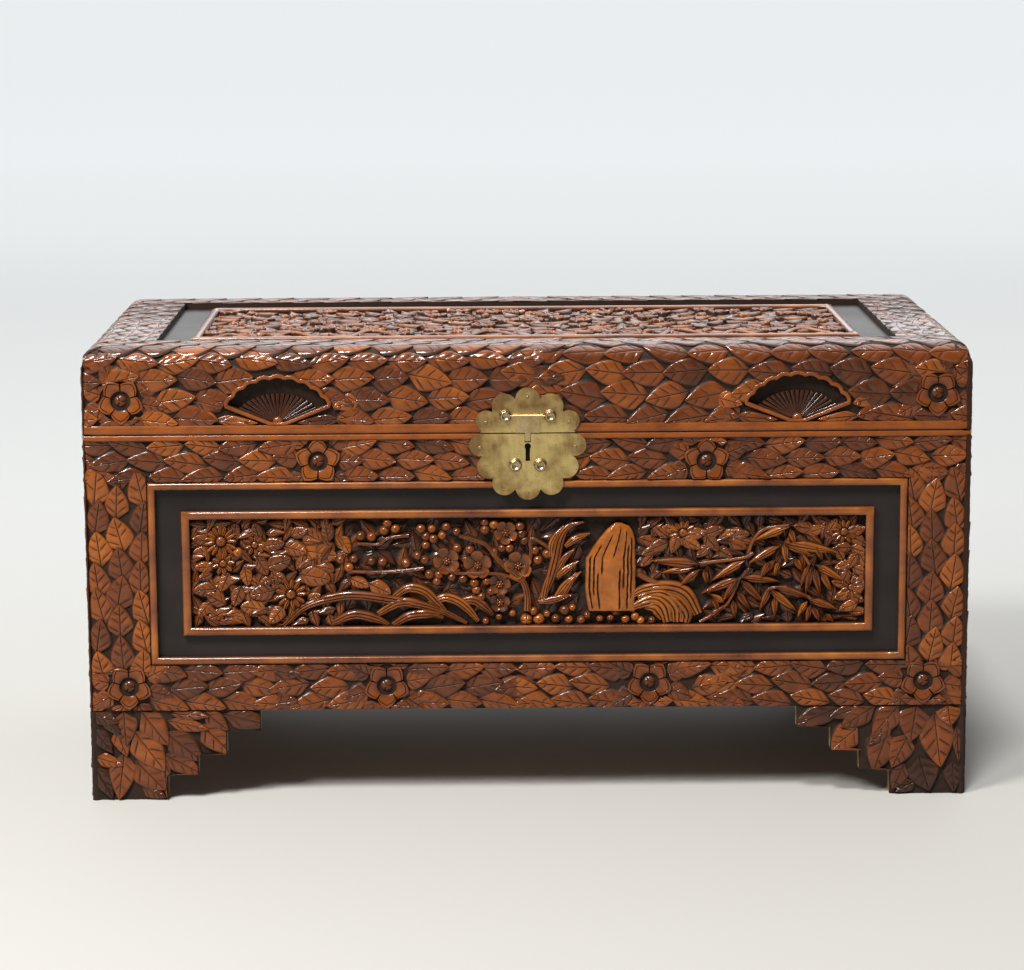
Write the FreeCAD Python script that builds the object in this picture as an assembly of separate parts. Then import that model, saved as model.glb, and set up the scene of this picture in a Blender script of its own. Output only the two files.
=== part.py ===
"""Carved wooden blanket chest on stepped bracket feet, with a hinged lid.

Frame: +X to the right, +Y to the back, +Z up.  The origin is on the floor, under the middle of the
chest.  All sizes are in millimetres.  The chest is built of separate boards: a front and two ends
of rails, stiles, flat black field boards and a carved tablet; a planked back and floor; and a lid of
four skirts, a top frame and its own carved tablet.  Each carved board is made here at the full
thickness of its carving.  Brass hardware: a two-part scalloped lock plate, a hinged hasp whose
staple enters a lock behind the lower plate, butt hinges on the back, and an elbow stay at each end.
"""

import math
import os

import FreeCAD
import Part

V = FreeCAD.Vector

# ---------------------------------------------------------------- driving dimensions
LENGTH = 1000.0
DEPTH = 500.0
HEIGHT = 520.0
SEAM_Z = 421.0  # top edge of the carcase
LID_GAP = 1.0  # daylight between carcase and lid skirt
FOOT_H = 104.0
WALL = 25.0  # thickness of every wall board
CORNER_R = 10.0  # rounding of the upright corners

RAIL_H = 54.0  # top and bottom rails of the carcase
STILE_W = 73.0
FIELD_DEPTH = 10.0  # how far the black field lies behind the carved face
MOULDING_W = 8.5
TABLET_INSET = 37.0  # black margin between stile and tablet frame
TABLET_INSET_Z = 33.0  # the same margin above and below
TABLET_FRAME_W = 9.5
TABLET_FRAME_PROUD = 8.5  # how far the frame stands off the field
RELIEF_SETBACK = 3.5  # highest carving in a tablet, behind the carved face

LID_TOP_T = 24.0
LID_EDGE_R = 22.0
LID_BAND_FRONT = 70.0  # width of the top frame's front and back rails
LID_BAND_END = 81.0
LID_FIELD_DEPTH = 8.0
LID_TABLET_INSET = 36.0
LID_FRAME_PROUD = 6.0
LID_RELIEF_SETBACK = 2.5

FLOOR_T = 15.0
PLANK_GAP = 0.3

# Half the outline of a bracket foot's lower edge: (distance from the corner, height) at each step.
FOOT_STEPS = [(88.0, 29.5), (123.0, 53.5), (156.0, 80.0), (195.0, FOOT_H)]
FOOT_ROUND = 6.0

FAN_XS = (-279.0, 302.0)  # hand-set, and not quite even
FAN_FOOT_Z = 434.0  # where the ribs of a fan meet
FAN_HALF_W, FAN_RISE = 61.0, 50.0  # radii of the oval that the fan's rim follows
FAN_START_DEG = 22.0
FAN_LOBES = 9
FAN_LOBE_BULGE = 2.2
FAN_DEPTH = 12.0
FAN_NECK = 7.0

PLATE_T = 1.2
PLATE_LIFT = 0.1  # air between the plates and the boards
PLATE_GAP = 1.3  # between the two plates, around the seam
KEYHOLE_Z, KEYHOLE_R, KEYHOLE_SLOT_W, KEYHOLE_FOOT_Z = 406.6, 3.6, 5.0, 390.0
STUD_PROUD = 5.4
PROUD = 6.7  # furthest that any hardware stands off the front or the back

HASP_Z = 441.2
HASP_W = 27.0
HASP_T = 1.4
BARREL_R, BARREL_LEN = 2.2, 33.0
HASP_PIN_R = 1.1
TONGUE_W = 6.0
TONGUE_FOOT_Z = 412.4
STAPLE_W = 4.4
RUNNING = 0.06  # radial clearance of a pin in its bearing

LOCK_W, LOCK_T, LOCK_FOOT_Z = 48.0, 12.0, 372.0
LOCK_WALL = 1.5
BOLT_REST_X = 3.6  # near end of the bolt when it is drawn back
BOLT_THROW = 7.0

HINGE_X = 330.0
HINGE_AXIS_OFF = 3.5  # hinge axis behind the back face
KNUCKLE_R, KNUCKLE_LEN, KNUCKLE_GAP, KNUCKLES = 3.2, 12.0, 0.4, 5
HINGE_PIN_R = 1.6
LEAF_T, LEAF_H = 1.5, 38.0

STAY_LID_ARM = 170.0  # carcase pivot to hinge axis, and so the lid arm's length
STAY_BODY_ARM = 150.0  # lid pivot to hinge axis, and so the carcase arm's length
STAY_LID_DEG = 15.0  # lid pivot above the level of the hinge axis
STAY_BODY_DEG = 50.0  # carcase pivot below it
ARM_W, ARM_T = 12.0, 2.2
PIVOT_R, PIVOT_HEAD_R, PIVOT_HEAD_T = 3.0, 5.0, 1.9
BRACKET_T = 1.5
ARM_PLAY = 0.5  # side play between arms and brackets
ELBOW_PLAY = 0.3  # radial play of the pivot that joins the two arms

# ---------------------------------------------------------------- derived positions
HALF_L, HALF_D = LENGTH / 2, DEPTH / 2
IN_X, IN_Y = HALF_L - WALL, HALF_D - WALL
LID_Z = SEAM_Z + LID_GAP
LID_SKIRT_TOP = HEIGHT - LID_TOP_T
PANEL_Z0, PANEL_Z1 = FOOT_H + RAIL_H, SEAM_Z - RAIL_H
PANEL_X = HALF_L - STILE_W
END_STILE_Y = HALF_D - STILE_W
HINGE_Y, HINGE_Z = HALF_D + HINGE_AXIS_OFF, SEAM_Z + LID_GAP / 2
PLATE_Y = -HALF_D - PLATE_LIFT - PLATE_T  # front face of the lock plates
PIN_Y = -HALF_D - PROUD + BARREL_R  # hasp pin


# ---------------------------------------------------------------- helpers
def box(x0, x1, y0, y1, z0, z1):
    return Part.makeBox(x1 - x0, y1 - y0, z1 - z0, V(x0, y0, z0))


def cylinder_x(r, x0, x1, y, z):
    return Part.makeCylinder(r, x1 - x0, V(x0, y, z), V(1, 0, 0))


def cylinder_y(r, y0, y1, x, z):
    return Part.makeCylinder(r, y1 - y0, V(x, y0, z), V(0, 1, 0))


def on_side(shape, side):
    """The shape for the right end, or its mirror image for the left one."""
    return shape if side > 0 else shape.mirror(V(0, 0, 0), V(1, 0, 0))


def round_edges(shape, radius, wanted):
    """Rounds the straight edges for which wanted(middle, direction) holds."""
    edges = []
    for edge in shape.Edges:
        a, b = edge.Vertexes[0].Point, edge.Vertexes[-1].Point
        if (b - a).Length > 1e-6 and wanted((a + b) * 0.5, (b - a).normalize()):
            edges.append(edge)
    return shape.makeFillet(radius, edges)


def rounded_corners(shape):
    """Rounds the upright corners of a board that reaches the outside of the chest at both ends."""

    def outer(middle, along):
        at_corner = abs(abs(middle.x) - HALF_L) < 1e-3 and abs(abs(middle.y) - HALF_D) < 1e-3
        return at_corner and abs(along.z) > 0.99

    return round_edges(shape, CORNER_R, outer)


def rounded_lid_board(board):
    """Rounds the outer top edges of a board of the lid's top frame, and then its upright corners."""

    def end_rim(middle, along):
        return abs(abs(middle.x) - HALF_L) < 1e-3 and abs(middle.z - HEIGHT) < 1e-3 and abs(along.y) > 0.99

    def long_rim(middle, along):
        return abs(abs(middle.y) - HALF_D) < 1e-3 and abs(middle.z - HEIGHT) < 1e-3 and abs(along.x) > 0.99

    shape = round_edges(board, LID_EDGE_R, end_rim)
    if abs(board.BoundBox.YMin) > HALF_D - 1e-3 or abs(board.BoundBox.YMax) > HALF_D - 1e-3:
        shape = shape.common(round_edges(board, LID_EDGE_R, long_rim))
        shape = shape.common(rounded_corners(board))
    return shape


def frame_strips(x0, x1, z0, z1, width, y0, y1):
    """Four strips of a picture frame in the XZ plane, the long ones running through."""
    return [
        box(x0, x1, y0, y1, z1 - width, z1),
        box(x0, x1, y0, y1, z0, z0 + width),
        box(x0, x0 + width, y0, y1, z0 + width, z1 - width),
        box(x1 - width, x1, y0, y1, z0 + width, z1 - width),
    ]


def turned_to_end(shape, side):
    """Carries a shape made on the front (centred on X 0) to the right (1) or left (-1) end."""
    turned = shape.copy()
    turned.rotate(V(0, 0, 0), V(0, 0, 1), 90)
    turned.translate(V(HALF_L - HALF_D, 0, 0))
    return on_side(turned, side)


def write(node, *solids):
    shape = solids[0] if len(solids) == 1 else Part.makeCompound(list(solids))
    assert all(s.isValid() and s.Volume > 0 for s in shape.Solids), node
    shape.exportStep(f"parts/{node}.step")


# ---------------------------------------------------------------- carcase
def panel_pieces(half_width):
    """Field boards, tablet frame and tablet of a wall whose opening runs from -half_width to it."""
    y_field, y_back = -HALF_D + FIELD_DEPTH, -HALF_D + WALL
    outer_x = half_width - TABLET_INSET
    outer_z0, outer_z1 = PANEL_Z0 + TABLET_INSET_Z, PANEL_Z1 - TABLET_INSET_Z
    inner_x = outer_x - TABLET_FRAME_W
    inner_z0, inner_z1 = outer_z0 + TABLET_FRAME_W, outer_z1 - TABLET_FRAME_W
    field = [
        box(-half_width, half_width, y_field, y_back, inner_z1, PANEL_Z1),
        box(-half_width, half_width, y_field, y_back, PANEL_Z0, inner_z0),
        box(-half_width, -inner_x, y_field, y_back, inner_z0, inner_z1),
        box(inner_x, half_width, y_field, y_back, inner_z0, inner_z1),
    ]
    y_frame = y_field - TABLET_FRAME_PROUD
    frame = frame_strips(-outer_x, outer_x, outer_z0, outer_z1, TABLET_FRAME_W, y_frame, y_field)
    relief = box(-inner_x, inner_x, -HALF_D + RELIEF_SETBACK, y_back, inner_z0, inner_z1)
    return field, frame, relief


def build_front():
    top_rail = rounded_corners(box(-HALF_L, HALF_L, -HALF_D, -IN_Y, PANEL_Z1, SEAM_Z))
    mortise = box(-LOCK_W / 2 - 0.5, LOCK_W / 2 + 0.5, -HALF_D - 1, -HALF_D + LOCK_T + 0.5,
                  LOCK_FOOT_Z - 0.5, SEAM_Z + 1)
    write("front_top_rail", top_rail.cut(mortise))
    write("front_bottom_rail", rounded_corners(box(-HALF_L, HALF_L, -HALF_D, -IN_Y, FOOT_H, PANEL_Z0)))
    for name, side in (("left", -1), ("right", 1)):
        x0, x1 = sorted((side * HALF_L, side * PANEL_X))
        write(f"front_{name}_stile", rounded_corners(box(x0, x1, -HALF_D, -IN_Y, PANEL_Z0, PANEL_Z1)))
    field, frame, relief = panel_pieces(PANEL_X)
    write("front_field_boards", *field)
    write("front_tablet_frame", *frame)
    write("front_carved_tablet", relief)
    moulding = frame_strips(-PANEL_X, PANEL_X, PANEL_Z0, PANEL_Z1, MOULDING_W,
                            -HALF_D + 0.5, -HALF_D + FIELD_DEPTH)
    write("front_field_moulding", *moulding)


def build_end(name, side):
    def end_board(y0, y1, z0, z1):
        return on_side(box(IN_X, HALF_L, y0, y1, z0, z1), side)

    write(f"{name}_top_rail", end_board(-IN_Y, IN_Y, PANEL_Z1, SEAM_Z))
    write(f"{name}_bottom_rail", end_board(-IN_Y, IN_Y, FOOT_H, PANEL_Z0))
    write(f"{name}_front_stile", end_board(-IN_Y, -END_STILE_Y, PANEL_Z0, PANEL_Z1))
    write(f"{name}_back_stile", end_board(END_STILE_Y, IN_Y, PANEL_Z0, PANEL_Z1))
    field, frame, relief = panel_pieces(END_STILE_Y)
    write(f"{name}_field_boards", *[turned_to_end(s, side) for s in field])
    write(f"{name}_tablet_frame", *[turned_to_end(s, side) for s in frame])
    write(f"{name}_carved_tablet", turned_to_end(relief, side))


def build_back_and_floor():
    count = 3
    height = (SEAM_Z - FOOT_H) / count
    planks = []
    for i in range(count):
        z0, z1 = FOOT_H + i * height, FOOT_H + (i + 1) * height
        planks.append(rounded_corners(box(-HALF_L, HALF_L, IN_Y, HALF_D, z0, z1 - PLANK_GAP)))
    write("back_planks", *planks)
    width = 2 * IN_Y / count
    floor = []
    for i in range(count):
        y0 = -IN_Y + i * width
        floor.append(box(-IN_X, IN_X, y0, y0 + width - PLANK_GAP, FOOT_H, FOOT_H + FLOOR_T))
    write("floor_planks", *floor)


# ---------------------------------------------------------------- feet
def bracket_face(start):
    """Stepped outline of a bracket, from start to the tip of its top step, measured from the corner."""
    points = [V(start, 0, 0), V(FOOT_STEPS[0][0], 0, 0)]
    for i, (reach, top) in enumerate(FOOT_STEPS):
        points.append(V(reach, 0, top))
        if i + 1 < len(FOOT_STEPS):
            points.append(V(FOOT_STEPS[i + 1][0], 0, top))
    points.append(V(start, 0, FOOT_H))
    return Part.Face(Part.makePolygon(points + [points[0]]))


def bracket(start):
    """A bracket board with rounded step ends, its outer face at Y 0 and its corner at X 0."""
    board = bracket_face(start).extrude(V(0, WALL, 0))

    def step_end(middle, along):
        at_end = any(abs(middle.x - reach) < 1e-3 for reach, _ in FOOT_STEPS[1:])
        return at_end and abs(along.y) > 0.99 and middle.z < FOOT_H - 1

    return round_edges(board, FOOT_ROUND, step_end)


def build_feet():
    face_bracket = bracket(0)
    face_bracket = round_edges(face_bracket, CORNER_R,
                               lambda m, d: abs(d.z) > 0.99 and abs(m.x) < 1e-3 and abs(m.y) < 1e-3)
    end_bracket = bracket(WALL)
    end_bracket.rotate(V(0, 0, 0), V(0, 0, 1), 90)
    # The rotation leaves the end bracket's outer face at X 0 with its body at negative X.
    end_bracket = end_bracket.mirror(V(0, 0, 0), V(1, 0, 0))
    for x_name, x_side in (("left", -1), ("right", 1)):
        for y_name, y_side in (("front", -1), ("back", 1)):
            boards = []
            for board in (face_bracket, end_bracket):
                placed = board.copy()
                placed.translate(V(-HALF_L, -HALF_D, 0))
                if x_side > 0:
                    placed = placed.mirror(V(0, 0, 0), V(1, 0, 0))
                if y_side > 0:
                    placed = placed.mirror(V(0, 0, 0), V(0, 1, 0))
                boards.append(placed)
            write(f"foot_{y_name}_{x_name}", *boards)
    block, clear = 38.0, 4.0
    blocks = []
    for x_side in (-1, 1):
        for y_side in (-1, 1):
            x0, x1 = sorted((x_side * IN_X, x_side * (IN_X - block)))
            y0, y1 = sorted((y_side * IN_Y, y_side * (IN_Y - block)))
            blocks.append(box(x0, x1, y0, y1, clear, FOOT_H))
    write("foot_glue_blocks", *blocks)


# ---------------------------------------------------------------- lid
def fan_pocket(x_centre):
    """Cutter for a fan-shaped recess in the lid's front skirt, with a scalloped rim."""

    def rim(k, bulge=0.0):
        angle = math.radians(FAN_START_DEG + (180 - 2 * FAN_START_DEG) * k / FAN_LOBES)
        return V(x_centre + (FAN_HALF_W + bulge) * math.cos(angle), 0,
                 FAN_FOOT_Z + (FAN_RISE + bulge) * math.sin(angle))

    right, left = V(x_centre + FAN_NECK, 0, FAN_FOOT_Z), V(x_centre - FAN_NECK, 0, FAN_FOOT_Z)
    edges = [Part.makeLine(left, right), Part.makeLine(right, rim(0))]
    for k in range(FAN_LOBES):
        edges.append(Part.Arc(rim(k), rim(k + 0.5, FAN_LOBE_BULGE), rim(k + 1)).toShape())
    edges.append(Part.makeLine(rim(FAN_LOBES), left))
    pocket = Part.Face(Part.Wire(edges)).extrude(V(0, FAN_DEPTH + 1, 0))
    pocket.translate(V(0, -HALF_D - 1, 0))
    return pocket


def build_lid():
    front = rounded_corners(box(-HALF_L, HALF_L, -HALF_D, -IN_Y, LID_Z, LID_SKIRT_TOP))
    write("lid_front_skirt", front.cut([fan_pocket(x) for x in FAN_XS]))
    write("lid_back_skirt", rounded_corners(box(-HALF_L, HALF_L, IN_Y, HALF_D, LID_Z, LID_SKIRT_TOP)))
    open_x, open_y = HALF_L - LID_BAND_END, HALF_D - LID_BAND_FRONT
    for name, side in (("left", -1), ("right", 1)):
        write(f"lid_{name}_skirt", on_side(box(IN_X, HALF_L, -IN_Y, IN_Y, LID_Z, LID_SKIRT_TOP), side))
        stile = box(open_x, HALF_L, -open_y, open_y, LID_SKIRT_TOP, HEIGHT)
        write(f"lid_top_{name}_stile", on_side(rounded_lid_board(stile), side))
    for name, side in (("front", -1), ("back", 1)):
        y0, y1 = sorted((side * HALF_D, side * open_y))
        rail = box(-HALF_L, HALF_L, y0, y1, LID_SKIRT_TOP, HEIGHT)
        write(f"lid_top_{name}_rail", rounded_lid_board(rail))
    field_z = HEIGHT - LID_FIELD_DEPTH
    out_x, out_y = open_x - LID_TABLET_INSET, open_y - LID_TABLET_INSET
    in_x, in_y = out_x - TABLET_FRAME_W, out_y - TABLET_FRAME_W
    write("lid_field_boards",
          box(-open_x, open_x, in_y, open_y, LID_SKIRT_TOP, field_z),
          box(-open_x, open_x, -open_y, -in_y, LID_SKIRT_TOP, field_z),
          box(-open_x, -in_x, -in_y, in_y, LID_SKIRT_TOP, field_z),
          box(in_x, open_x, -in_y, in_y, LID_SKIRT_TOP, field_z))
    frame_z = field_z + LID_FRAME_PROUD
    write("lid_tablet_frame",
          box(-out_x, out_x, in_y, out_y, field_z, frame_z),
          box(-out_x, out_x, -out_y, -in_y, field_z, frame_z),
          box(-out_x, -in_x, -in_y, in_y, field_z, frame_z),
          box(in_x, out_x, -in_y, in_y, field_z, frame_z))
    write("lid_carved_tablet", box(-in_x, in_x, -in_y, in_y, LID_SKIRT_TOP, HEIGHT - LID_RELIEF_SETBACK))


# ---------------------------------------------------------------- lock and hasp
def lobed_plate(lobes, core, z0, z1):
    """A flat plate: round lobes (x, z, radius) on both sides of the middle, filled by a core outline."""
    y0, y1 = PLATE_Y, PLATE_Y + PLATE_T
    points = [V(x, y0, z) for x, z in core] + [V(-x, y0, z) for x, z in reversed(core)]
    plate = Part.Face(Part.makePolygon(points + [points[0]])).extrude(V(0, PLATE_T, 0))
    for x, z, r in lobes:
        for side in (-1, 1) if x else (1,):
            plate = plate.fuse(cylinder_y(r, y0, y1, side * x, z))
    plate = plate.common(box(-HALF_L, HALF_L, y0 - 1, y1 + 1, z0, z1))
    return plate.removeSplitter()


UPPER_NAILS = [(0, 462.0), (46.5, 433.5), (-46.5, 433.5)]
LOWER_NAILS = [(0, 353.5), (53.5, 405.5), (-53.5, 405.5)]
NAIL_R, NAIL_HEAD_R, NAIL_LEN = 0.9, 1.9, 14.0
POST_X, POST_R = 25.0, 7.3
LOCK_STUD_X, LOCK_STUD_Z, LOCK_STUD_R = 14.0, 385.5, 7.8


def nail(x, z):
    shank = cylinder_y(NAIL_R, PLATE_Y, PLATE_Y + NAIL_LEN, x, z)
    head = cylinder_y(NAIL_HEAD_R, PLATE_Y - 0.7, PLATE_Y, x, z)
    return shank.fuse(head)


def turned_stud(x, z, radius):
    """A turned brass boss standing on a plate: a collar with a domed ring and a hollow middle."""
    y = PLATE_Y
    profile = [(0, 0), (radius, 0), (radius, 1.2), (radius * 0.82, 2.6), (radius * 0.72, STUD_PROUD - 0.6),
               (radius * 0.56, STUD_PROUD), (radius * 0.36, STUD_PROUD - 0.4), (0, STUD_PROUD - 1.3)]
    points = [V(x + r, y - h, z) for r, h in profile]
    face = Part.Face(Part.makePolygon(points + [points[0]]))
    return face.revolve(V(x, y, z), V(0, 1, 0), 360)


def build_lock():
    seam_low, seam_high = SEAM_Z + LID_GAP / 2 - PLATE_GAP / 2, SEAM_Z + LID_GAP / 2 + PLATE_GAP / 2
    upper = lobed_plate([(0, 459.3, 13.8), (25.8, 452.0, 14.2), (46.2, 435.3, 12.0)],
                        [(53.0, seam_high), (46.0, 440.0), (25.8, 460.0)], seam_high, HEIGHT)
    lower = lobed_plate([(53.0, 408.0, 12.5), (43.0, 384.0, 13.8), (26.2, 364.8, 13.6), (0, 359.6, 13.8)],
                        [(54.0, seam_low), (50.0, 390.0), (34.0, 362.0), (10.0, 356.0)], 0, seam_low)
    notch_x = TONGUE_W / 2 + 0.5
    upper = upper.cut(box(-notch_x, notch_x, PLATE_Y - 1, -HALF_D, seam_high - 1, seam_high + 5.0))
    lower = lower.cut(box(-notch_x, notch_x, PLATE_Y - 1, -HALF_D, TONGUE_FOOT_Z - 1.2, SEAM_Z + 1))
    keyhole_y = (PLATE_Y - 1, PLATE_Y + PLATE_T + 1)
    slot_half = KEYHOLE_SLOT_W / 2
    lower = lower.cut(cylinder_y(KEYHOLE_R, *keyhole_y, 0, KEYHOLE_Z))
    lower = lower.cut(box(-slot_half, slot_half, *keyhole_y, KEYHOLE_FOOT_Z, KEYHOLE_Z))
    for x, z in UPPER_NAILS:
        upper = upper.cut(cylinder_y(NAIL_R, *keyhole_y, x, z))
    for x, z in LOWER_NAILS:
        lower = lower.cut(cylinder_y(NAIL_R, *keyhole_y, x, z))
    write("lock_plate_upper", upper)
    write("lock_plate_lower", lower)
    write("lock_plate_nails_upper", *[nail(x, z) for x, z in UPPER_NAILS])
    write("lock_plate_nails_lower", *[nail(x, z) for x, z in LOWER_NAILS])
    write("lock_studs", *[turned_stud(s * LOCK_STUD_X, LOCK_STUD_Z, LOCK_STUD_R) for s in (-1, 1)])

    pin = cylinder_x(HASP_PIN_R, -POST_X + 3, POST_X - 3, PIN_Y, HASP_Z)
    posts = [turned_stud(s * POST_X, HASP_Z, POST_R).cut(pin) for s in (-1, 1)]
    write("hasp_pin_and_posts", pin, *posts)
    build_hasp()
    build_lock_works()


def build_hasp():
    half = HASP_W / 2
    plate_y1 = PLATE_Y - 0.8
    plate_y0 = plate_y1 - HASP_T
    tongue_y0, tongue_y1 = PLATE_Y, -HALF_D - 0.15
    barrel = cylinder_x(BARREL_R, -BARREL_LEN / 2, BARREL_LEN / 2, PIN_Y, HASP_Z)
    seam_top = SEAM_Z + LID_GAP / 2 + PLATE_GAP / 2
    plate = box(-half, half, plate_y0, plate_y1, seam_top, HASP_Z)
    step = box(-TONGUE_W / 2, TONGUE_W / 2, plate_y0, tongue_y1, seam_top, seam_top + 2.0)
    tongue = box(-TONGUE_W / 2, TONGUE_W / 2, tongue_y0, tongue_y1, TONGUE_FOOT_Z, seam_top + 2.0)
    staple = box(-STAPLE_W / 2, STAPLE_W / 2, tongue_y1, -HALF_D + 6.5, 413.4, 420.0)
    window = box(-STAPLE_W, STAPLE_W, -HALF_D + 1.2, -HALF_D + 5.3, 414.3, 418.7)
    hasp = barrel.fuse([plate, step, tongue, staple]).cut(window).removeSplitter()
    bearing = cylinder_x(HASP_PIN_R + RUNNING, -BARREL_LEN, BARREL_LEN, PIN_Y, HASP_Z)
    write("hasp", hasp.cut(bearing))


def build_lock_works():
    x = LOCK_W / 2
    y0, y1 = -HALF_D, -HALF_D + LOCK_T
    top = SEAM_Z - 0.4
    shell = box(-x, x, y0, y1, LOCK_FOOT_Z, top)
    hollow = box(-x + LOCK_WALL, x - LOCK_WALL, y0 - 1, y1 - LOCK_WALL, LOCK_FOOT_Z + LOCK_WALL, top - LOCK_WALL)
    staple_way = box(-STAPLE_W / 2 - 0.6, STAPLE_W / 2 + 0.6, y0 - 1, -HALF_D + 8.0, 405.0, SEAM_Z + 1)
    write("lock_case", shell.cut(hollow).cut(staple_way))
    bar_y0, bar_y1 = -HALF_D + 1.6, -HALF_D + 4.9
    bar = box(BOLT_REST_X, BOLT_REST_X + 15.0, bar_y0, bar_y1, 414.8, 418.2)
    web = box(BOLT_REST_X + 6.3, BOLT_REST_X + 15.0, bar_y0 + 0.6, bar_y1 - 0.6, 396.0, 414.8)
    talon = box(BOLT_REST_X + 6.0, BOLT_REST_X + 10.5, bar_y0, bar_y1, 398.0, 402.0)
    write("lock_bolt", bar.fuse(web).cut(talon))


# ---------------------------------------------------------------- hinges
def knuckle_spans(on_lid):
    """X spans of one hinge's knuckles: the carcase leaf has the odd ones, the lid leaf the others."""
    total = KNUCKLES * KNUCKLE_LEN
    first = 1 if on_lid else 0
    return [(-total / 2 + k * KNUCKLE_LEN + KNUCKLE_GAP / 2, -total / 2 + (k + 1) * KNUCKLE_LEN - KNUCKLE_GAP / 2)
            for k in range(first, KNUCKLES, 2)]


SCREW_R, SCREW_HEAD_R, SCREW_LEN = 1.6, 3.4, 14.0
SCREW_SPOTS = [(-20.0, 0.45), (0.0, 0.72), (20.0, 0.45)]  # across a leaf, and up it as a share


def leaf_z(on_lid, share):
    near = KNUCKLE_R + 0.8
    return HINGE_Z + (near + (LEAF_H - near) * share) * (1 if on_lid else -1)


def hinge_leaf(x_centre, on_lid):
    z_near, z_far = sorted((leaf_z(on_lid, 0), leaf_z(on_lid, 1)))
    half = KNUCKLES * KNUCKLE_LEN / 2
    leaf = box(x_centre - half, x_centre + half, HALF_D, HALF_D + LEAF_T, z_near, z_far)
    for x0, x1 in knuckle_spans(on_lid):
        leaf = leaf.fuse(cylinder_x(KNUCKLE_R, x_centre + x0, x_centre + x1, HINGE_Y, HINGE_Z))
        z0, z1 = sorted((HINGE_Z, leaf_z(on_lid, 0)))
        leaf = leaf.fuse(box(x_centre + x0, x_centre + x1, HALF_D + 0.35, HALF_D + LEAF_T, z0, z1))
    bore = cylinder_x(HINGE_PIN_R + RUNNING, x_centre - 2 * half, x_centre + 2 * half, HINGE_Y, HINGE_Z)
    leaf = leaf.cut(bore)
    for dx, share in SCREW_SPOTS:
        leaf = leaf.cut(cylinder_y(SCREW_R, HALF_D - 1, HALF_D + 5, x_centre + dx, leaf_z(on_lid, share)))
    return leaf.removeSplitter()


def screw(x, y_face, z):
    """A round-headed screw driven forward through a leaf on the back."""
    shank = cylinder_y(SCREW_R, y_face - SCREW_LEN, y_face, x, z)
    head = Part.makeSphere(SCREW_HEAD_R * 1.3, V(x, y_face - SCREW_HEAD_R * 0.83, z))
    head = head.common(cylinder_y(SCREW_HEAD_R, y_face, y_face + 3, x, z))
    slot = box(x - 0.4, x + 0.4, y_face + 0.9, y_face + 3, z - SCREW_HEAD_R, z + SCREW_HEAD_R)
    return shank.fuse(head.cut(slot))


def build_hinges():
    centres = (-HINGE_X, HINGE_X)
    write("hinge_leaves_body", *[hinge_leaf(x, False) for x in centres])
    write("hinge_leaves_lid", *[hinge_leaf(x, True) for x in centres])
    half = KNUCKLES * KNUCKLE_LEN / 2
    write("hinge_pins", *[cylinder_x(HINGE_PIN_R, x - half, x + half, HINGE_Y, HINGE_Z) for x in centres])
    for name, on_lid in (("body", False), ("lid", True)):
        write(f"hinge_screws_{name}", *[screw(x + dx, HALF_D + LEAF_T, leaf_z(on_lid, share))
                                        for x in centres for dx, share in SCREW_SPOTS])


# ---------------------------------------------------------------- elbow stays
def polar(radius, degrees):
    """A point at a distance and direction from the hinge axis, as (y, z); 180 degrees is forward."""
    a = math.radians(degrees)
    return HINGE_Y + radius * math.cos(a), HINGE_Z + radius * math.sin(a)


BODY_PIVOT = polar(STAY_LID_ARM, 180 + STAY_BODY_DEG)
LID_PIVOT = polar(STAY_BODY_ARM, 180 - STAY_LID_DEG)
# The two arms and the lines from the hinge axis to their pivots make a parallelogram.
ELBOW = (BODY_PIVOT[0] + LID_PIVOT[0] - HINGE_Y, BODY_PIVOT[1] + LID_PIVOT[1] - HINGE_Z)

BRACKET_X = IN_X - BRACKET_T  # inner face of a bracket plate
BODY_ARM_X = BRACKET_X - ARM_PLAY - ARM_T  # inner face of the carcase arm
LID_ARM_X = BODY_ARM_X - ARM_PLAY - ARM_T


def arm(start, end, x0):
    """A flat bar with round ends between two pivots, on the right end of the chest."""
    length = math.hypot(end[0] - start[0], end[1] - start[1])
    bar = box(x0, x0 + ARM_T, 0, length, -ARM_W / 2, ARM_W / 2)
    bar = bar.fuse([cylinder_x(ARM_W / 2, x0, x0 + ARM_T, y, 0) for y in (0, length)])
    bar = bar.removeSplitter()
    bar.rotate(V(0, 0, 0), V(1, 0, 0), math.degrees(math.atan2(end[1] - start[1], end[0] - start[0])))
    bar.translate(V(0, start[0], start[1]))
    return bar


def eye(point, clearance=RUNNING):
    return cylinder_x(PIVOT_R + clearance, LID_ARM_X - 5, IN_X, *point)


def rivet(point, x_from, arm_x):
    """A pivot that runs through an arm, headed on the arm's inner side."""
    head_x = arm_x - ARM_PLAY / 2
    shank = cylinder_x(PIVOT_R, head_x, x_from, *point)
    return shank.fuse(cylinder_x(PIVOT_HEAD_R, head_x - PIVOT_HEAD_T, head_x, *point))


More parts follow.
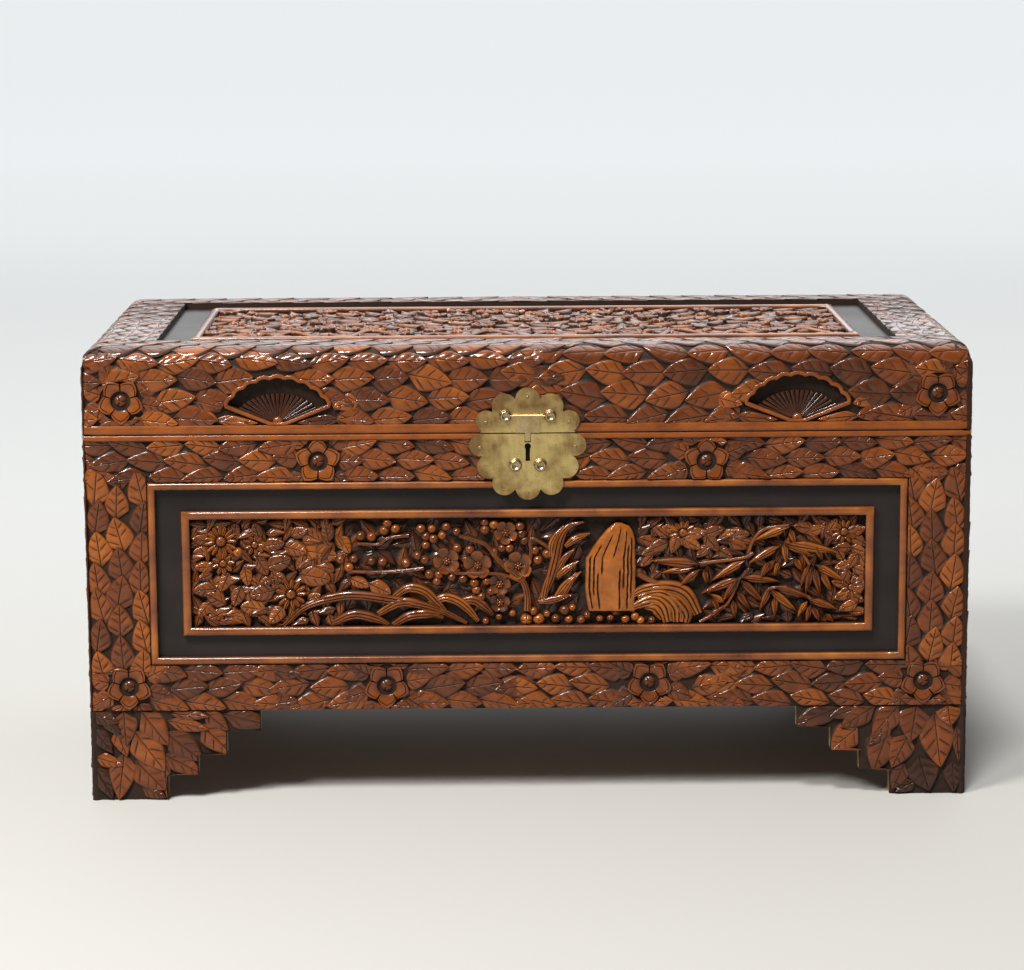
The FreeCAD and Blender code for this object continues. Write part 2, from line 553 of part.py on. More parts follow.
def stay_bracket(point, arm_x, spacer):
    """A small screwed plate on the wall with the pivot of one arm."""
    y, z = point
    plate = box(BRACKET_X, IN_X, y - 17, y + 17, z - 8, z + 8)
    plate = round_edges(plate, 7.5, lambda m, d: abs(d.x) > 0.99)
    bracket_shape = plate.fuse(rivet(point, BRACKET_X, arm_x))
    if spacer:
        bracket_shape = bracket_shape.fuse(cylinder_x(PIVOT_HEAD_R, arm_x + ARM_T + ARM_PLAY / 2, BRACKET_X, y, z))
    for dy in (-12, 12):
        # A countersunk screw, flush with the plate: the line round its head, and its slot.
        ring = cylinder_x(2.6, BRACKET_X - 1, BRACKET_X + 0.3, y + dy, z)
        ring = ring.cut(cylinder_x(2.3, BRACKET_X - 2, BRACKET_X + 1, y + dy, z))
        slot = box(BRACKET_X - 1, BRACKET_X + 0.6, y + dy - 0.4, y + dy + 0.4, z - 2.3, z + 2.3)
        bracket_shape = bracket_shape.cut([ring, slot])
    return bracket_shape.removeSplitter()


def build_stays():
    body_bracket = stay_bracket(BODY_PIVOT, BODY_ARM_X, False)
    lid_bracket = stay_bracket(LID_PIVOT, LID_ARM_X, True)
    body_arm = arm(BODY_PIVOT, ELBOW, BODY_ARM_X).cut(eye(BODY_PIVOT))
    body_arm = body_arm.fuse(rivet(ELBOW, BODY_ARM_X + ARM_T, LID_ARM_X)).removeSplitter()
    lid_arm = arm(LID_PIVOT, ELBOW, LID_ARM_X).cut(eye(LID_PIVOT)).cut(eye(ELBOW, ELBOW_PLAY))
    write("stay_brackets_body", *[on_side(body_bracket, s) for s in (-1, 1)])
    write("stay_brackets_lid", *[on_side(lid_bracket, s) for s in (-1, 1)])
    for name, side in (("left", -1), ("right", 1)):
        write(f"stay_body_arm_{name}", on_side(body_arm, side))
        write(f"stay_lid_arm_{name}", on_side(lid_arm, side))


def main():
    os.makedirs("parts", exist_ok=True)
    build_front()
    build_end("left", -1)
    build_end("right", 1)
    build_back_and_floor()
    build_feet()
    build_lid()
    build_lock()
    build_hinges()
    build_stays()
    print("hinge axis", HINGE_Y, HINGE_Z, "body pivot", BODY_PIVOT, "lid pivot", LID_PIVOT, "elbow", ELBOW)


main()
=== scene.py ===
import math

import bpy
import numpy as np
from mathutils import Euler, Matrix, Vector


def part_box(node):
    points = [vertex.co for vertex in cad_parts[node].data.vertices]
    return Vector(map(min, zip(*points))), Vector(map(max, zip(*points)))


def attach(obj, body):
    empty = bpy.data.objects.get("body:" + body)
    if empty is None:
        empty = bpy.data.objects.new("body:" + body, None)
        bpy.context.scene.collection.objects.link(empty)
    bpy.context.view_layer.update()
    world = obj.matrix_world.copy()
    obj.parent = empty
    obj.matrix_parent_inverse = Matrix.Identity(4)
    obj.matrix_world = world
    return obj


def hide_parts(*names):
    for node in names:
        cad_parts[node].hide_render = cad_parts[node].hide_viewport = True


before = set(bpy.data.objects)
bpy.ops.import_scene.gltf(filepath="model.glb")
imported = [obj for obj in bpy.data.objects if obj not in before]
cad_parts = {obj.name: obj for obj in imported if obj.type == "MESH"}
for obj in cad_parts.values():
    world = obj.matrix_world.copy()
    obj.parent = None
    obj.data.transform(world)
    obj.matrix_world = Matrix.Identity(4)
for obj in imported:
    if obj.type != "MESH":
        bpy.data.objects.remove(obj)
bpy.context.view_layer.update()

# Sizes and heights below are in millimetres on the face of a board, and become metres in a mapping.
# Heights are negative: 0 is the untouched face of the board, which no carving rises above. Only the
# lock's fittings stand proud of it.
MM = 0.001


def node_box(name):
    """A CAD node's lowest and highest corner, in millimetres."""
    low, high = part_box(name)
    return np.array(low) / MM, np.array(high) / MM


TOP_RAIL_LOW, TOP_RAIL_HIGH = node_box("front_top_rail")
BOTTOM_RAIL_LOW, BOTTOM_RAIL_HIGH = node_box("front_bottom_rail")
LID_LOW, LID_HIGH = node_box("lid_front_skirt")
TOP_LOW, TOP_HIGH = node_box("lid_top_front_rail")
TABLET_LOW, TABLET_HIGH = node_box("front_carved_tablet")
LID_TABLET_LOW, LID_TABLET_HIGH = node_box("lid_carved_tablet")

HALF_L, HALF_D = TOP_RAIL_HIGH[0], -TOP_RAIL_LOW[1]
HEIGHT = TOP_HIGH[2]
WALL = TOP_RAIL_HIGH[1] - TOP_RAIL_LOW[1]
LID_EDGE_R, CORNER_R = 22.0, 10.0
ARC = LID_EDGE_R * math.pi / 2
LID_FIELD_LOW, LID_FIELD_HIGH = node_box("lid_field_boards")
LID_BAND_FRONT, LID_BAND_END = TOP_HIGH[1] - TOP_LOW[1], HALF_L - LID_FIELD_HIGH[0]
LID_INNER = LID_FIELD_LOW[2]
PANEL_X = -node_box("front_left_stile")[1][0]
GROUND = -5.0
TABLET_GROUND = -14.0
BEAD = 10.0
# The plain core of a carved board lies this far behind its face, and stops this far short of the corners.
CORE_FACE, CORE_END = 9.0, 9.4
LID_CORE = 12.6
# How deep the edges of a carved sheet are turned down, so that no gap shows behind them.
SHEET_EDGE, LID_SHEET_EDGE = -9.5, -12.8
# Flowers and leaves of the borders.
FLOWER_R = 25.5
TOP_RAIL_LEAF, BOTTOM_RAIL_LEAF = (46.0, 30.0), (46.0, 32.0)


# ---------------------------------------------------------------- mappings from a face to the frame
def flat_map(origin, along, up, out):
    """(u, v, h) on a plane face, with h standing off it, to the frame."""
    origin, along, up, out = (np.array(a, float) for a in (origin, along, up, out))

    def place(u, v, h):
        return origin + u[..., None] * along + v[..., None] * up + h[..., None] * out

    return place


SIDES = {
    "front": ((1, 0, 0), (0, -1, 0), HALF_D),
    "back": ((-1, 0, 0), (0, 1, 0), HALF_D),
    "right": ((0, 1, 0), (1, 0, 0), HALF_L),
    "left": ((0, -1, 0), (-1, 0, 0), HALF_L),
}


def wall_map(side):
    along, out, half = SIDES[side]
    return flat_map(np.array(out) * half, along, (0, 0, 1), out)


def lid_map(side):
    """Up a side of the lid, over its rounded edge and on across the top, v being measured along it."""
    along, out, half = SIDES[side]
    along, out = np.array(along, float), np.array(out, float)
    bend = HEIGHT - LID_EDGE_R

    def place(u, v, h):
        turn = np.clip((v - bend) / LID_EDGE_R, 0, math.pi / 2)
        r = LID_EDGE_R + h
        off = half - LID_EDGE_R + r * np.cos(turn) - np.maximum(v - bend - ARC, 0)
        z = np.minimum(v, bend) + r * np.sin(turn)
        return u[..., None] * along + off[..., None] * out + z[..., None] * np.array((0, 0, 1.0))

    return place


TOP_MAP = flat_map((0, 0, HEIGHT), (1, 0, 0), (0, 1, 0), (0, 0, 1))


def pull_onto_round(p, h, first, second, centre, radius):
    """Pulls points back to a rounded edge, where the axes first and second both pass its centre."""
    a, b = np.abs(p[..., first]) - centre[0], np.abs(p[..., second]) - centre[1]
    reach = np.hypot(np.maximum(a, 0), np.maximum(b, 0))
    limit = np.maximum(radius + h, 1.0)
    scale = np.where((a > 0) & (b > 0) & (reach > limit), limit / np.maximum(reach, 1e-6), 1.0)
    for axis, d, c in ((first, a, centre[0]), (second, b, centre[1])):
        moved = np.sign(p[..., axis]) * (c + d * scale)
        p[..., axis] = np.where((a > 0) & (b > 0), moved, p[..., axis])


def round_over(p, h):
    """Keeps a face's points within the rounded upright corners and the lid's rounded rim."""
    pull_onto_round(p, h, 0, 1, (HALF_L - CORNER_R, HALF_D - CORNER_R), CORNER_R)
    high = p[..., 2] > HEIGHT - LID_EDGE_R
    for axis, half in ((0, HALF_L), (1, HALF_D)):
        q = p.copy()
        pull_onto_round(q, h, axis, 2, (half - LID_EDGE_R, HEIGHT - LID_EDGE_R), LID_EDGE_R)
        p[high] = q[high]
    return p


# ---------------------------------------------------------------- collecting carved shapes
class Carving:
    """One mesh in the making, gathered from grids of points on the faces of boards."""

    def __init__(self, mapping=None):
        self.mapping, self.clip = mapping, None
        self.points, self.faces, self.dark, self.tint, self.slots = [], [], [], [], []
        self.count = 0

    def on(self, mapping, clip=None):
        """Sets the face that the next shapes lie on, and the outline that they are held within."""
        self.mapping, self.clip = mapping, clip
        return self

    def grid(self, u, v, h, dark, tint=0.5):
        """Adds a sheet of quads through points given as arrays of rows and columns."""
        u, v, h, dark = np.broadcast_arrays(np.asarray(u, float), v, h, dark)
        if self.clip is not None:
            u, v = self.clip(u, v)
        p = round_over(self.mapping(u, v, np.asarray(h, float)), h)
        rows, cols = u.shape
        index = np.arange(rows * cols).reshape(rows, cols) + self.count
        quads = np.stack([index[:-1, :-1], index[:-1, 1:], index[1:, 1:], index[1:, :-1]], -1).reshape(-1, 4)
        du, dv = np.diff(u, axis=0)[:, :-1], np.diff(v, axis=0)[:, :-1]
        eu, ev = np.diff(u, axis=1)[:-1], np.diff(v, axis=1)[:-1]
        if np.sum(eu * dv - ev * du) < 0:
            quads = quads[:, ::-1]
        self.points.append(p.reshape(-1, 3) * MM)
        self.faces.append(quads)
        self.dark.append(dark.reshape(-1))
        self.tint.append(np.full(rows * cols, tint))
        self.slots.append(np.zeros(len(quads)))
        self.count += rows * cols

    def box(self, low, high):
        """Adds a plain board core, in the second material, given in the frame in millimetres."""
        low, high = np.array(low, float), np.array(high, float)
        corners = np.array([[x, y, z] for z in (0, 1) for y in (0, 1) for x in (0, 1)])
        self.points.append((low + corners * (high - low)) * MM)
        quads = [[0, 2, 3, 1], [4, 5, 7, 6], [0, 1, 5, 4], [2, 6, 7, 3], [0, 4, 6, 2], [1, 3, 7, 5]]
        self.faces.append(np.array(quads) + self.count)
        self.dark.append(np.zeros(8))
        self.tint.append(np.full(8, 0.5))
        self.slots.append(np.ones(6))
        self.count += 8

    def finish(self, name, body, materials, nodes=()):
        """Makes the piece, which rides on a body and stands in for the CAD nodes."""
        p, quads = np.concatenate(self.points), np.concatenate(self.faces)
        slots = np.concatenate(self.slots)
        tris = np.concatenate([quads[:, [0, 1, 2]], quads[:, [0, 2, 3]]])
        slots = np.concatenate([slots, slots])
        a, b, c = (p[tris[:, k]] for k in range(3))
        keep = np.linalg.norm(np.cross(b - a, c - a), axis=1) > 2e-11
        tris, slots = tris[keep], slots[keep]
        used, inverse = np.unique(tris, return_inverse=True)
        tris, p = inverse.reshape(-1, 3), p[used]
        mesh = bpy.data.meshes.new(name)
        mesh.from_pydata(p, [], tris)
        for label, parts in (("dark", self.dark), ("tint", self.tint)):
            values = np.concatenate(parts)[used].astype(np.float32)
            mesh.attributes.new(label, "FLOAT", "POINT").data.foreach_set("value", values)
        for material in materials:
            mesh.materials.append(material)
        mesh.polygons.foreach_set("material_index", slots.astype(np.int32))
        mesh.polygons.foreach_set("use_smooth", np.ones(len(tris), bool))
        mesh.update()
        mesh.set_sharp_from_angle(angle=math.radians(48))
        piece = bpy.data.objects.new(name, mesh)
        bpy.context.scene.collection.objects.link(piece)
        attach(piece, body)
        if nodes:
            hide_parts(*nodes)
        return piece


def clip_box(u0, u1, v0, v1):
    return lambda u, v: (np.clip(u, u0, u1), np.clip(v, v0, v1))


# ---------------------------------------------------------------- carved shapes
def ground(c, u0, u1, v0, v1, depth=GROUND, base=None, step=4.0, dark=0.96, uneven=0.35, seed=0, lines=()):
    """The cut-back ground behind the carving, with its edges turned down, dark with stain and painted shade.
    depth may be a function.

    lines are extra places along u where the sheet needs points, such as the sides of a corner strip.
    """
    rng = np.random.default_rng(seed)
    us = np.linspace(u0, u1, max(int((u1 - u0) / step), 1) + 1)
    us = np.union1d(us, [u for u in lines if u0 < u < u1])
    vs = np.linspace(v0, v1, max(int((v1 - v0) / step), 1) + 1)
    us, vs = np.r_[us[0], us, us[-1]], np.r_[vs[0], vs, vs[-1]]
    u, v = np.meshgrid(us, vs)
    h = depth(u, v) if callable(depth) else np.full(u.shape, float(depth))
    # The ground's darkness is stain and painted shade of the sunk ground.
    d = dark(u, v) if callable(dark) else np.full(u.shape, float(dark))
    h = h + rng.uniform(-uneven, uneven / 2, u.shape)
    low = (depth if not callable(depth) else GROUND) - 4.0 if base is None else base
    h[[0, -1], :] = low
    at_corner = max(low, SHEET_EDGE)
    h[:, 0] = at_corner if abs(u0) in (HALF_L, HALF_D) else low
    h[:, -1] = at_corner if abs(u1) in (HALF_L, HALF_D) else low
    c.grid(u, v, h, d, 0.3)


LEAF_COLS = (0.22, 0.44, 0.64, 0.8, 0.89, 1.0)
PETAL_COLS = (0.45, 0.85, 1.0)


def leaf(c, u, v, heading, length, width, rng, top=0.0, low=GROUND, cuts=3, tilt=4.2, dome=0.9, tint=None,
         rib="cut", tip=0.84, heel=0.5, cols=LEAF_COLS, relief=1.0):
    """A leaf with a cut midrib and short cut side veins, its tip high and its heel low.

    (u, v) is the middle of the midrib, and heading is the direction of the tip in degrees.  The mesh
    runs in rows from the midrib out and forward to the edge, so that the side veins lie along rows.
    relief is the share of the full depth that is left where the carving is shallow or worn.
    """
    tint = rng.uniform(0.1, 1.0) if tint is None else tint
    rows = [0.0, 0.07]
    for k in range(cuts):
        at = 0.18 + 0.5 * k / max(cuts - 1, 1) + rng.uniform(-0.02, 0.02)
        rows += [at - 0.034, at, at + 0.034, at + 0.1]
    rows += [0.8, 0.9, 0.96, 1.0] if cuts else [0.2, 0.4, 0.6, 0.78, 0.9, 1.0]
    vein = [3 + 4 * k for k in range(cuts)]
    a = np.array(rows)[:, None]
    peak = heel / (heel + tip)
    norm = peak ** heel * (1 - peak) ** tip
    cut = np.interp(cols, [0.1, 0.5, 0.7, 0.88], [0.9, 1.0, 0.8, 0.0])
    halves = []
    for side in (-1, 1):
        b = a ** rng.uniform(0.38, 0.47)
        half_width = width / 2 * b ** heel * (1 - b) ** tip / norm
        rib_edge = np.minimum(0.85 / np.maximum(half_width, 1e-3), 0.18)
        t = np.concatenate([0 * a, rib_edge, np.tile(cols, (len(rows), 1)), np.ones_like(a)], 1)
        along = (1 - t) * a + t * b
        across = side * t * half_width
        h = top + tilt * (along - 0.85) - dome * t ** 2 + rng.uniform(-0.12, 0.12, t.shape)
        d = np.zeros_like(t)
        h[:, -4] -= 0.25
        h[:, -3] -= 1.5
        h[:, -2] = np.maximum(h[:, -2] - 3.8, low)
        # The rim and skirt are dark where the leaf turns down into the groove between leaves: stain and
        # painted shade.
        d[:, -4] = 0.06
        d[:, -3] = 0.7
        d[:, -2] = 1.0
        # Painted shadow: the heel is darkened where the tip of the leaf before it lies over it.
        d += 0.6 * np.clip(1 - along / 0.25, 0, 1)
        # The cut midrib and side veins are dark with stain and painted shade in the cuts.
        if rib == "cut":
            h[:, 0] -= 0.95 * (1 - 0.5 * rows[-1])
            h[1:-2, 0] -= 0.35
            d[:, 0] = 0.95
        else:
            h[:, 0] += 0.6
            h[:, 2] -= 0.7
            d[:, 2] = 0.75
        for row in vein:
            reach = rng.uniform(0.55, 1.0) * (rng.random() > 0.12)
            h[row, 2:-1] -= 0.9 * cut * reach
            d[row, 2:-1] = np.maximum(d[row, 2:-1], cut * reach)
        h[:, -1] = low - 0.8
        d[:, -1] = 1.0
        halves.append((along, across, h, d))
    along = np.concatenate([halves[0][0][:, ::-1], halves[1][0][:, 1:]], 1)
    across = np.concatenate([halves[0][1][:, ::-1], halves[1][1][:, 1:]], 1)
    h = np.concatenate([halves[0][2][:, ::-1], halves[1][2][:, 1:]], 1)
    d = np.concatenate([halves[0][3][:, ::-1], halves[1][3][:, 1:]], 1)
    h += rng.uniform(-0.5, 0.5) * across / max(width / 2, 1e-3)
    h = np.minimum(h, 0.0) * relief
    x, y = (along - 0.5) * length, across
    turn = math.radians(heading)
    c.grid(u + x * math.cos(turn) - y * math.sin(turn), v + x * math.sin(turn) + y * math.cos(turn),
           h, np.clip(d, 0, 1), tint)


def leaf_between(c, u0, v0, u1, v1, width, rng, **options):
    """A leaf from its heel to its tip."""
    heading = math.degrees(math.atan2(v1 - v0, u1 - u0))
    leaf(c, (u0 + u1) / 2, (v0 + v1) / 2, heading, math.hypot(u1 - u0, v1 - v0), width, rng, **options)


def dome(c, u, v, radius, top, low, rng, tint=None, slits=0, flat=0.5, dark=0.0):
    """A round berry, boss or bud, with knife slits across its crown if asked."""
    tint = rng.uniform(0.2, 1.0) if tint is None else tint
    around = 24 if slits else (14 if radius > 3 else 8)
    turn = np.linspace(0, 2 * math.pi, around + 1)[:, None]
    ring = np.array([0.0, 0.3, 0.55, 0.78, 0.93, 1.0, 1.0])[None, :]
    rise = radius * flat * 2
    h = top - rise * (1 - np.sqrt(np.clip(1 - ring ** 2, 0, 1))) + 0 * turn
    # The rim is darkened where the dome drops to the ground, and the dimple or slits are dark: stain and
    # painted shade.
    d = dark + 0.5 * np.clip(ring - 0.8, 0, 1) * 4 + 0 * turn
    if slits:
        cut = np.cos(turn * slits) > 0.9
        h = h - 1.0 * cut * (ring < 0.9)
        d = np.maximum(d, 0.95 * cut * (ring < 0.9))
    else:
        d = np.maximum(d, 0.75 * (ring == 0))
        h = h - 0.5 * (ring == 0)
    h = np.maximum(h, low - 0.5)
    h[:, -1] = low - 0.8
    c.grid(u + radius * ring * np.cos(turn), v + radius * ring * np.sin(turn), h, np.clip(d, 0, 1), tint)


SECTIONS = {
    # (place across the band from -1 to 1, drop below its crown as a share of the width, darkness: stain and
    # painted shade at the edges and in the grooves)
    "round": [(-1, 0.3, 0.7), (-0.85, 0.14, 0.2), (-0.5, 0.03, 0), (0, 0, 0), (0.5, 0.03, 0),
              (0.85, 0.14, 0.2), (1, 0.3, 0.7)],
    "ribbed": [(-1, 0.3, 0.7), (-0.85, 0.1, 0.1), (-0.6, 0.02, 0), (-0.4, 0.12, 0.85), (-0.2, 0, 0),
               (0.1, 0, 0), (0.28, 0.12, 0.85), (0.45, 0.02, 0), (0.8, 0.08, 0.1), (1, 0.3, 0.7)],
    "flat": [(-1, 0.25, 0.6), (-0.75, 0.03, 0.1), (0, 0, 0), (0.75, 0.03, 0.1), (1, 0.25, 0.6)],
}


def smooth_path(points, count):
    """Points evenly spread along a Catmull-Rom curve through the given ones."""
    p = np.array(points, float)
    p = np.vstack([2 * p[0] - p[1], p, 2 * p[-1] - p[-2]])
    out = []
    for k in range(1, len(p) - 2):
        for t in np.linspace(0, 1, 8, endpoint=False):
            out.append(0.5 * (2 * p[k] + (p[k + 1] - p[k - 1]) * t
                              + (2 * p[k - 1] - 5 * p[k] + 4 * p[k + 1] - p[k + 2]) * t ** 2
                              + (3 * p[k] - p[k - 1] - 3 * p[k + 1] + p[k + 2]) * t ** 3))
    out = np.array(out + [p[-2]])
    length = np.r_[0, np.cumsum(np.hypot(*np.diff(out, axis=0).T))]
    where = np.linspace(0, length[-1], count)
    return np.stack([np.interp(where, length, out[:, 0]), np.interp(where, length, out[:, 1])], 1)


def band(c, points, widths, tops, low, rng, section="round", count=20, tint=None, curve=True, closed=False):
    """A raised band along a path, its width and height changing along the way."""
    tint = rng.uniform(0.2, 1.0) if tint is None else tint
    path = smooth_path(points, count) if curve else np.array(points, float)
    share = np.linspace(0, 1, len(path))
    width = np.interp(share, np.linspace(0, 1, len(widths)), widths)[:, None]
    top = np.interp(share, np.linspace(0, 1, len(tops)), tops)[:, None]
    if closed:
        ahead = np.roll(path[:-1], -1, axis=0) - np.roll(path[:-1], 1, axis=0)
        ahead = np.vstack([ahead, ahead[:1]])
    else:
        ahead = np.gradient(path, axis=0)
    ahead /= np.maximum(np.hypot(ahead[:, 0], ahead[:, 1]), 1e-9)[:, None]
    section = SECTIONS[section]
    t = np.array([section[0][0]] + [s[0] for s in section] + [section[-1][0]])[None, :]
    drop = np.array([s[1] for s in section])[None, :]
    u = path[:, :1] - ahead[:, 1:] * t * width / 2
    v = path[:, 1:] + ahead[:, :1] * t * width / 2
    h = top - drop * np.minimum(width, 14) + rng.uniform(-0.12, 0.12, (len(path), drop.shape[1]))
    h = np.maximum(np.minimum(h, 0), low - 0.5)
    skirt = np.full((len(path), 1), low - 0.8)
    h = np.concatenate([skirt, h, skirt], 1)
    d = np.tile(np.array([1.0] + [s[2] for s in section] + [1.0]), (len(path), 1))
    if not closed:
        u, v, d = (np.concatenate([x[:1], x, x[-1:]]) for x in (u, v, d))
        h = np.concatenate([np.full_like(h[:1], low - 0.8), h, np.full_like(h[:1], low - 0.8)])
        d[[0, -1]] = 1.0
    c.grid(u, v, h, d, tint)


def flower(c, u, v, radius, rng, turn=90.0):
    """An open flower with broad pointed petals, each edged with a cut line, round a deep eye."""
    tint = rng.uniform(0.4, 0.8)
    petals, top, eye = 5, -0.2, radius * 0.42
    for k in range(petals):
        share = np.array([-1, -0.93, -0.7, -0.4, 0, 0.4, 0.7, 0.93, 1])[:, None]
        angle = math.radians(turn + 360 * k / petals) + share * (math.pi / petals - 0.02)
        outer = radius * (1.06 - 0.32 * np.abs(share) ** 1.1)
        ring = np.array([0.0, 0.1, 0.45, 0.7, 0.76, 0.82, 0.95, 1.0, 1.0])[None, :]
        r = eye + (outer - eye) * ring
        h = top + np.array([-2.6, -1.5, -0.7, -0.3, -1.2, -0.2, -0.3, -1.4, GROUND - 0.8 - top]) + 0 * share
        # Darkness: the eye, the cut line round each petal and the petal's dropping edge, stain and painted
        # shade.
        d = np.array([0.8, 0.2, 0, 0, 0.9, 0.1, 0.05, 0.6, 1.0])[None, :] + 0 * share
        h[[0, -1]] -= 1.4
        d[[0, -1]] = 1.0
        h = np.maximum(h + rng.uniform(-0.15, 0.15, h.shape), GROUND - 0.8)
        c.grid(u + r * np.cos(angle), v + r * np.sin(angle), h, d, tint)
    dome(c, u, v, eye * 0.7, top - 1.4, GROUND, rng, tint=0.3, slits=3, flat=0.35, dark=0.25)


def blossom(c, u, v, radius, rng, top=-4.5, low=TABLET_GROUND):
    """A plum blossom: five broad cupped petals that overlap at their sides, and a knot of stamens."""
    tint, turn = rng.uniform(0.0, 0.6), rng.uniform(0, 72)
    share = np.array([-1, -0.9, -0.6, -0.25, 0.25, 0.6, 0.9, 1])[:, None]
    ring = np.array([0.0, 0.3, 0.6, 0.8, 0.92, 1.0, 1.0])[None, :]
    for k in range(5):
        angle = math.radians(turn + 72 * k) + share * (math.pi / 5 + 0.05)
        r = radius * (0.12 + 0.88 * ring * (1 - 0.32 * np.abs(share) ** 3))
        h = top + np.array([-3.4, -3.2, -2.2, -0.6, 0.0, -1.6, low - 0.8 - top]) - 0.5 * (k % 2) + 0 * share
        # Darkness: the low middle and the dropping edges of each petal, stain and painted shade.
        d = np.array([0.8, 0.45, 0.15, 0.0, 0.0, 0.7, 1.0])[None, :] + 0 * share
        h[[0, -1]] -= 2.4
        h[[1, -2]] -= 0.5
        d[[0, -1]] = 1.0
        d[[1, -2]] = np.maximum(d[[1, -2]], 0.5)
        h = np.maximum(h + rng.uniform(-0.2, 0.2, h.shape), low - 0.8)
        c.grid(u + r * np.cos(angle), v + r * np.sin(angle), h, d, tint + rng.uniform(-0.1, 0.2))
    for k in range(6):
        angle = math.radians(turn + 60 * k)
        dome(c, u + 3.0 * math.cos(angle), v + 3.0 * math.sin(angle), 1.3, top - 0.8, low, rng, tint=0.5)
    dome(c, u, v, 2.0, top - 0.4, low, rng, tint=0.6)


def chrysanthemum(c, u, v, radius, rng, petals=13, top=-5.0, low=TABLET_GROUND):
    """Narrow petals round a button."""
    tint = rng.uniform(0.4, 0.8)
    for k in range(petals):
        angle = 2 * math.pi * (k + rng.uniform(-0.15, 0.15)) / petals
        inner, outer = 0.3 * radius, radius * rng.uniform(0.92, 1.05)
        leaf_between(c, u + inner * math.cos(angle), v + inner * math.sin(angle), u + outer * math.cos(angle),
                     v + outer * math.sin(angle), 6.4 * radius / petals * 0.8, rng, top=top, low=low, cuts=0,
                     tilt=0.8, dome=1.2, tint=tint, tip=0.35, heel=0.5, cols=PETAL_COLS)
    dome(c, u, v, 0.34 * radius, top - 0.2, low, rng, tint=tint * 0.7, flat=0.3)


def frame_ring(c, u0, u1, v0, v1, width, low, top, rng):
    """A mitred moulding round a rectangle, with a softly rounded face."""
    offsets = np.array([0, 0, 0.08, 0.25, 0.5, 0.75, 0.92, 1, 1]) * width
    drop = np.array([low - top, -2.8, -1.3, -0.35, 0, -0.35, -1.3, -2.8, low - top])
    corners = [(u0, v0, 1, 1), (u1, v0, -1, 1), (u1, v1, -1, -1), (u0, v1, 1, -1)]
    u, v = [], []
    for k in range(4):
        a, b = corners[k], corners[(k + 1) % 4]
        steps = max(int(math.hypot(b[0] - a[0], b[1] - a[1]) / 18), 1)
        for t in np.linspace(0, 1, steps, endpoint=False):
            u.append((1 - t) * (a[0] + offsets * a[2]) + t * (b[0] + offsets * b[2]))
            v.append((1 - t) * (a[1] + offsets * a[3]) + t * (b[1] + offsets * b[3]))
    u, v = np.array(u + u[:1]), np.array(v + v[:1])
    h = top + drop + rng.uniform(-0.18, 0.0, u.shape) * (np.abs(drop) < 3)
    h[-1] = h[0]
    # Darker where the moulding drops away at its sides: stain and painted shade.
    d = np.array([1, 0.35, 0.05, 0, 0, 0, 0.05, 0.5, 1.0]) + 0 * u
    c.grid(u, v, h, d, 0.8)


def strip(c, u0, u1, v0, v1, low, rng):
    """A plain straight bead with softened edges."""
    top, step = -0.2, 14.0
    us = np.linspace(u0, u1, max(int((u1 - u0) / step), 1) + 1)
    us = np.r_[us[0], us, us[-1]][None, :]
    share = np.array([0, 0, 0.12, 0.4, 0.6, 0.88, 1, 1])[:, None]
    drop = np.array([low - top, -1.0, -0.25, 0, 0, -0.25, -1.0, low - top])[:, None]
    h = top + drop + rng.uniform(-0.15, 0, (8, us.shape[1])) * (np.abs(drop) < 2)
    h[:, [0, -1]] = max(low, SHEET_EDGE)
    # Darker where the bead's edges drop away: stain and painted shade.
    d = np.array([1, 0.5, 0.08, 0, 0, 0.05, 0.35, 1])[:, None] + 0 * us
    c.grid(us + 0 * share, v0 + share * (v1 - v0) + 0 * us, h, d, 0.75)


# ---------------------------------------------------------------- layouts of leaves
def leaf_rows(c, u0, u1, v_first, row_gap, rows, heading, length, width, rng, keep=None, relief=None,
              **options):
    """Staggered rows of leaves that all point along the rows, to the right (0) or to the left (180)."""
    step = 0.9 * length
    count = int(math.ceil((u1 - u0) / step)) + 1
    for r in range(rows):
        for k in range(count):
            along = (k + (0.5 if r % 2 else 0.0)) * step + rng.uniform(-0.06, 0.06) * length
            across = v_first + r * row_gap + rng.uniform(-0.05, 0.05) * width
            u = (u0 + along) if heading != 180 else (u1 - along)
            if u < u0 - 0.45 * length or u > u1 + 0.45 * length:
                continue
            if keep is not None and not keep(u, across):
                continue
            leaf(c, u, across, heading + rng.uniform(-13, 13), length * rng.uniform(0.93, 1.1),
                 width * rng.uniform(0.9, 1.08), rng, top=rng.uniform(-0.7, 0.0),
                 relief=relief(across) if relief else 1.0, tint=rng.uniform(0.0, 0.85), **options)


def clear_of(spots):
    """True where a leaf's middle is far enough from every (u, v, radius) spot, more so along the leaf."""
    return lambda u, v: all(math.hypot((u - a) / (r + 2.5), (v - b) / (r - 5)) > 1 for a, b, r in spots)


def wreath(c, spots, rng):
    """Low leaves that spread from behind each flower and fill the ground round it."""
    for u, v in spots:
        start = rng.uniform(0, 45)
        for k in range(8):
            angle = math.radians(start + 45 * k + rng.uniform(-8, 8))
            middle = FLOWER_R * 0.93 + 11
            leaf(c, u + middle * math.cos(angle), v + middle * math.sin(angle), math.degrees(angle), 34.0,
                 26.0, rng, top=rng.uniform(-2.2, -1.4), tint=rng.uniform(0.0, 0.6), tilt=2.0)


def flower_spots(flowers):
    return [(u, v, FLOWER_R * 0.93, FLOWER_R * 0.93) for u, v in flowers]


def outside_of(box_clip, spots):
    """A clip that also pushes points out of round or oval (u, v, half width, half height) spots."""

    def clip(u, v):
        u, v = box_clip(u, v)
        for cu, cv, ru, rv in spots:
            du, dv = (u - cu) / ru, (v - cv) / rv
            r = np.maximum(np.hypot(du, dv), 1e-6)
            inside = r < 1
            u = np.where(inside, cu + du / r * ru, u)
            v = np.where(inside, cv + dv / r * rv, v)
        return u, v

    return clip


# ---------------------------------------------------------------- materials
def grey(level):
    return (level, level, level)


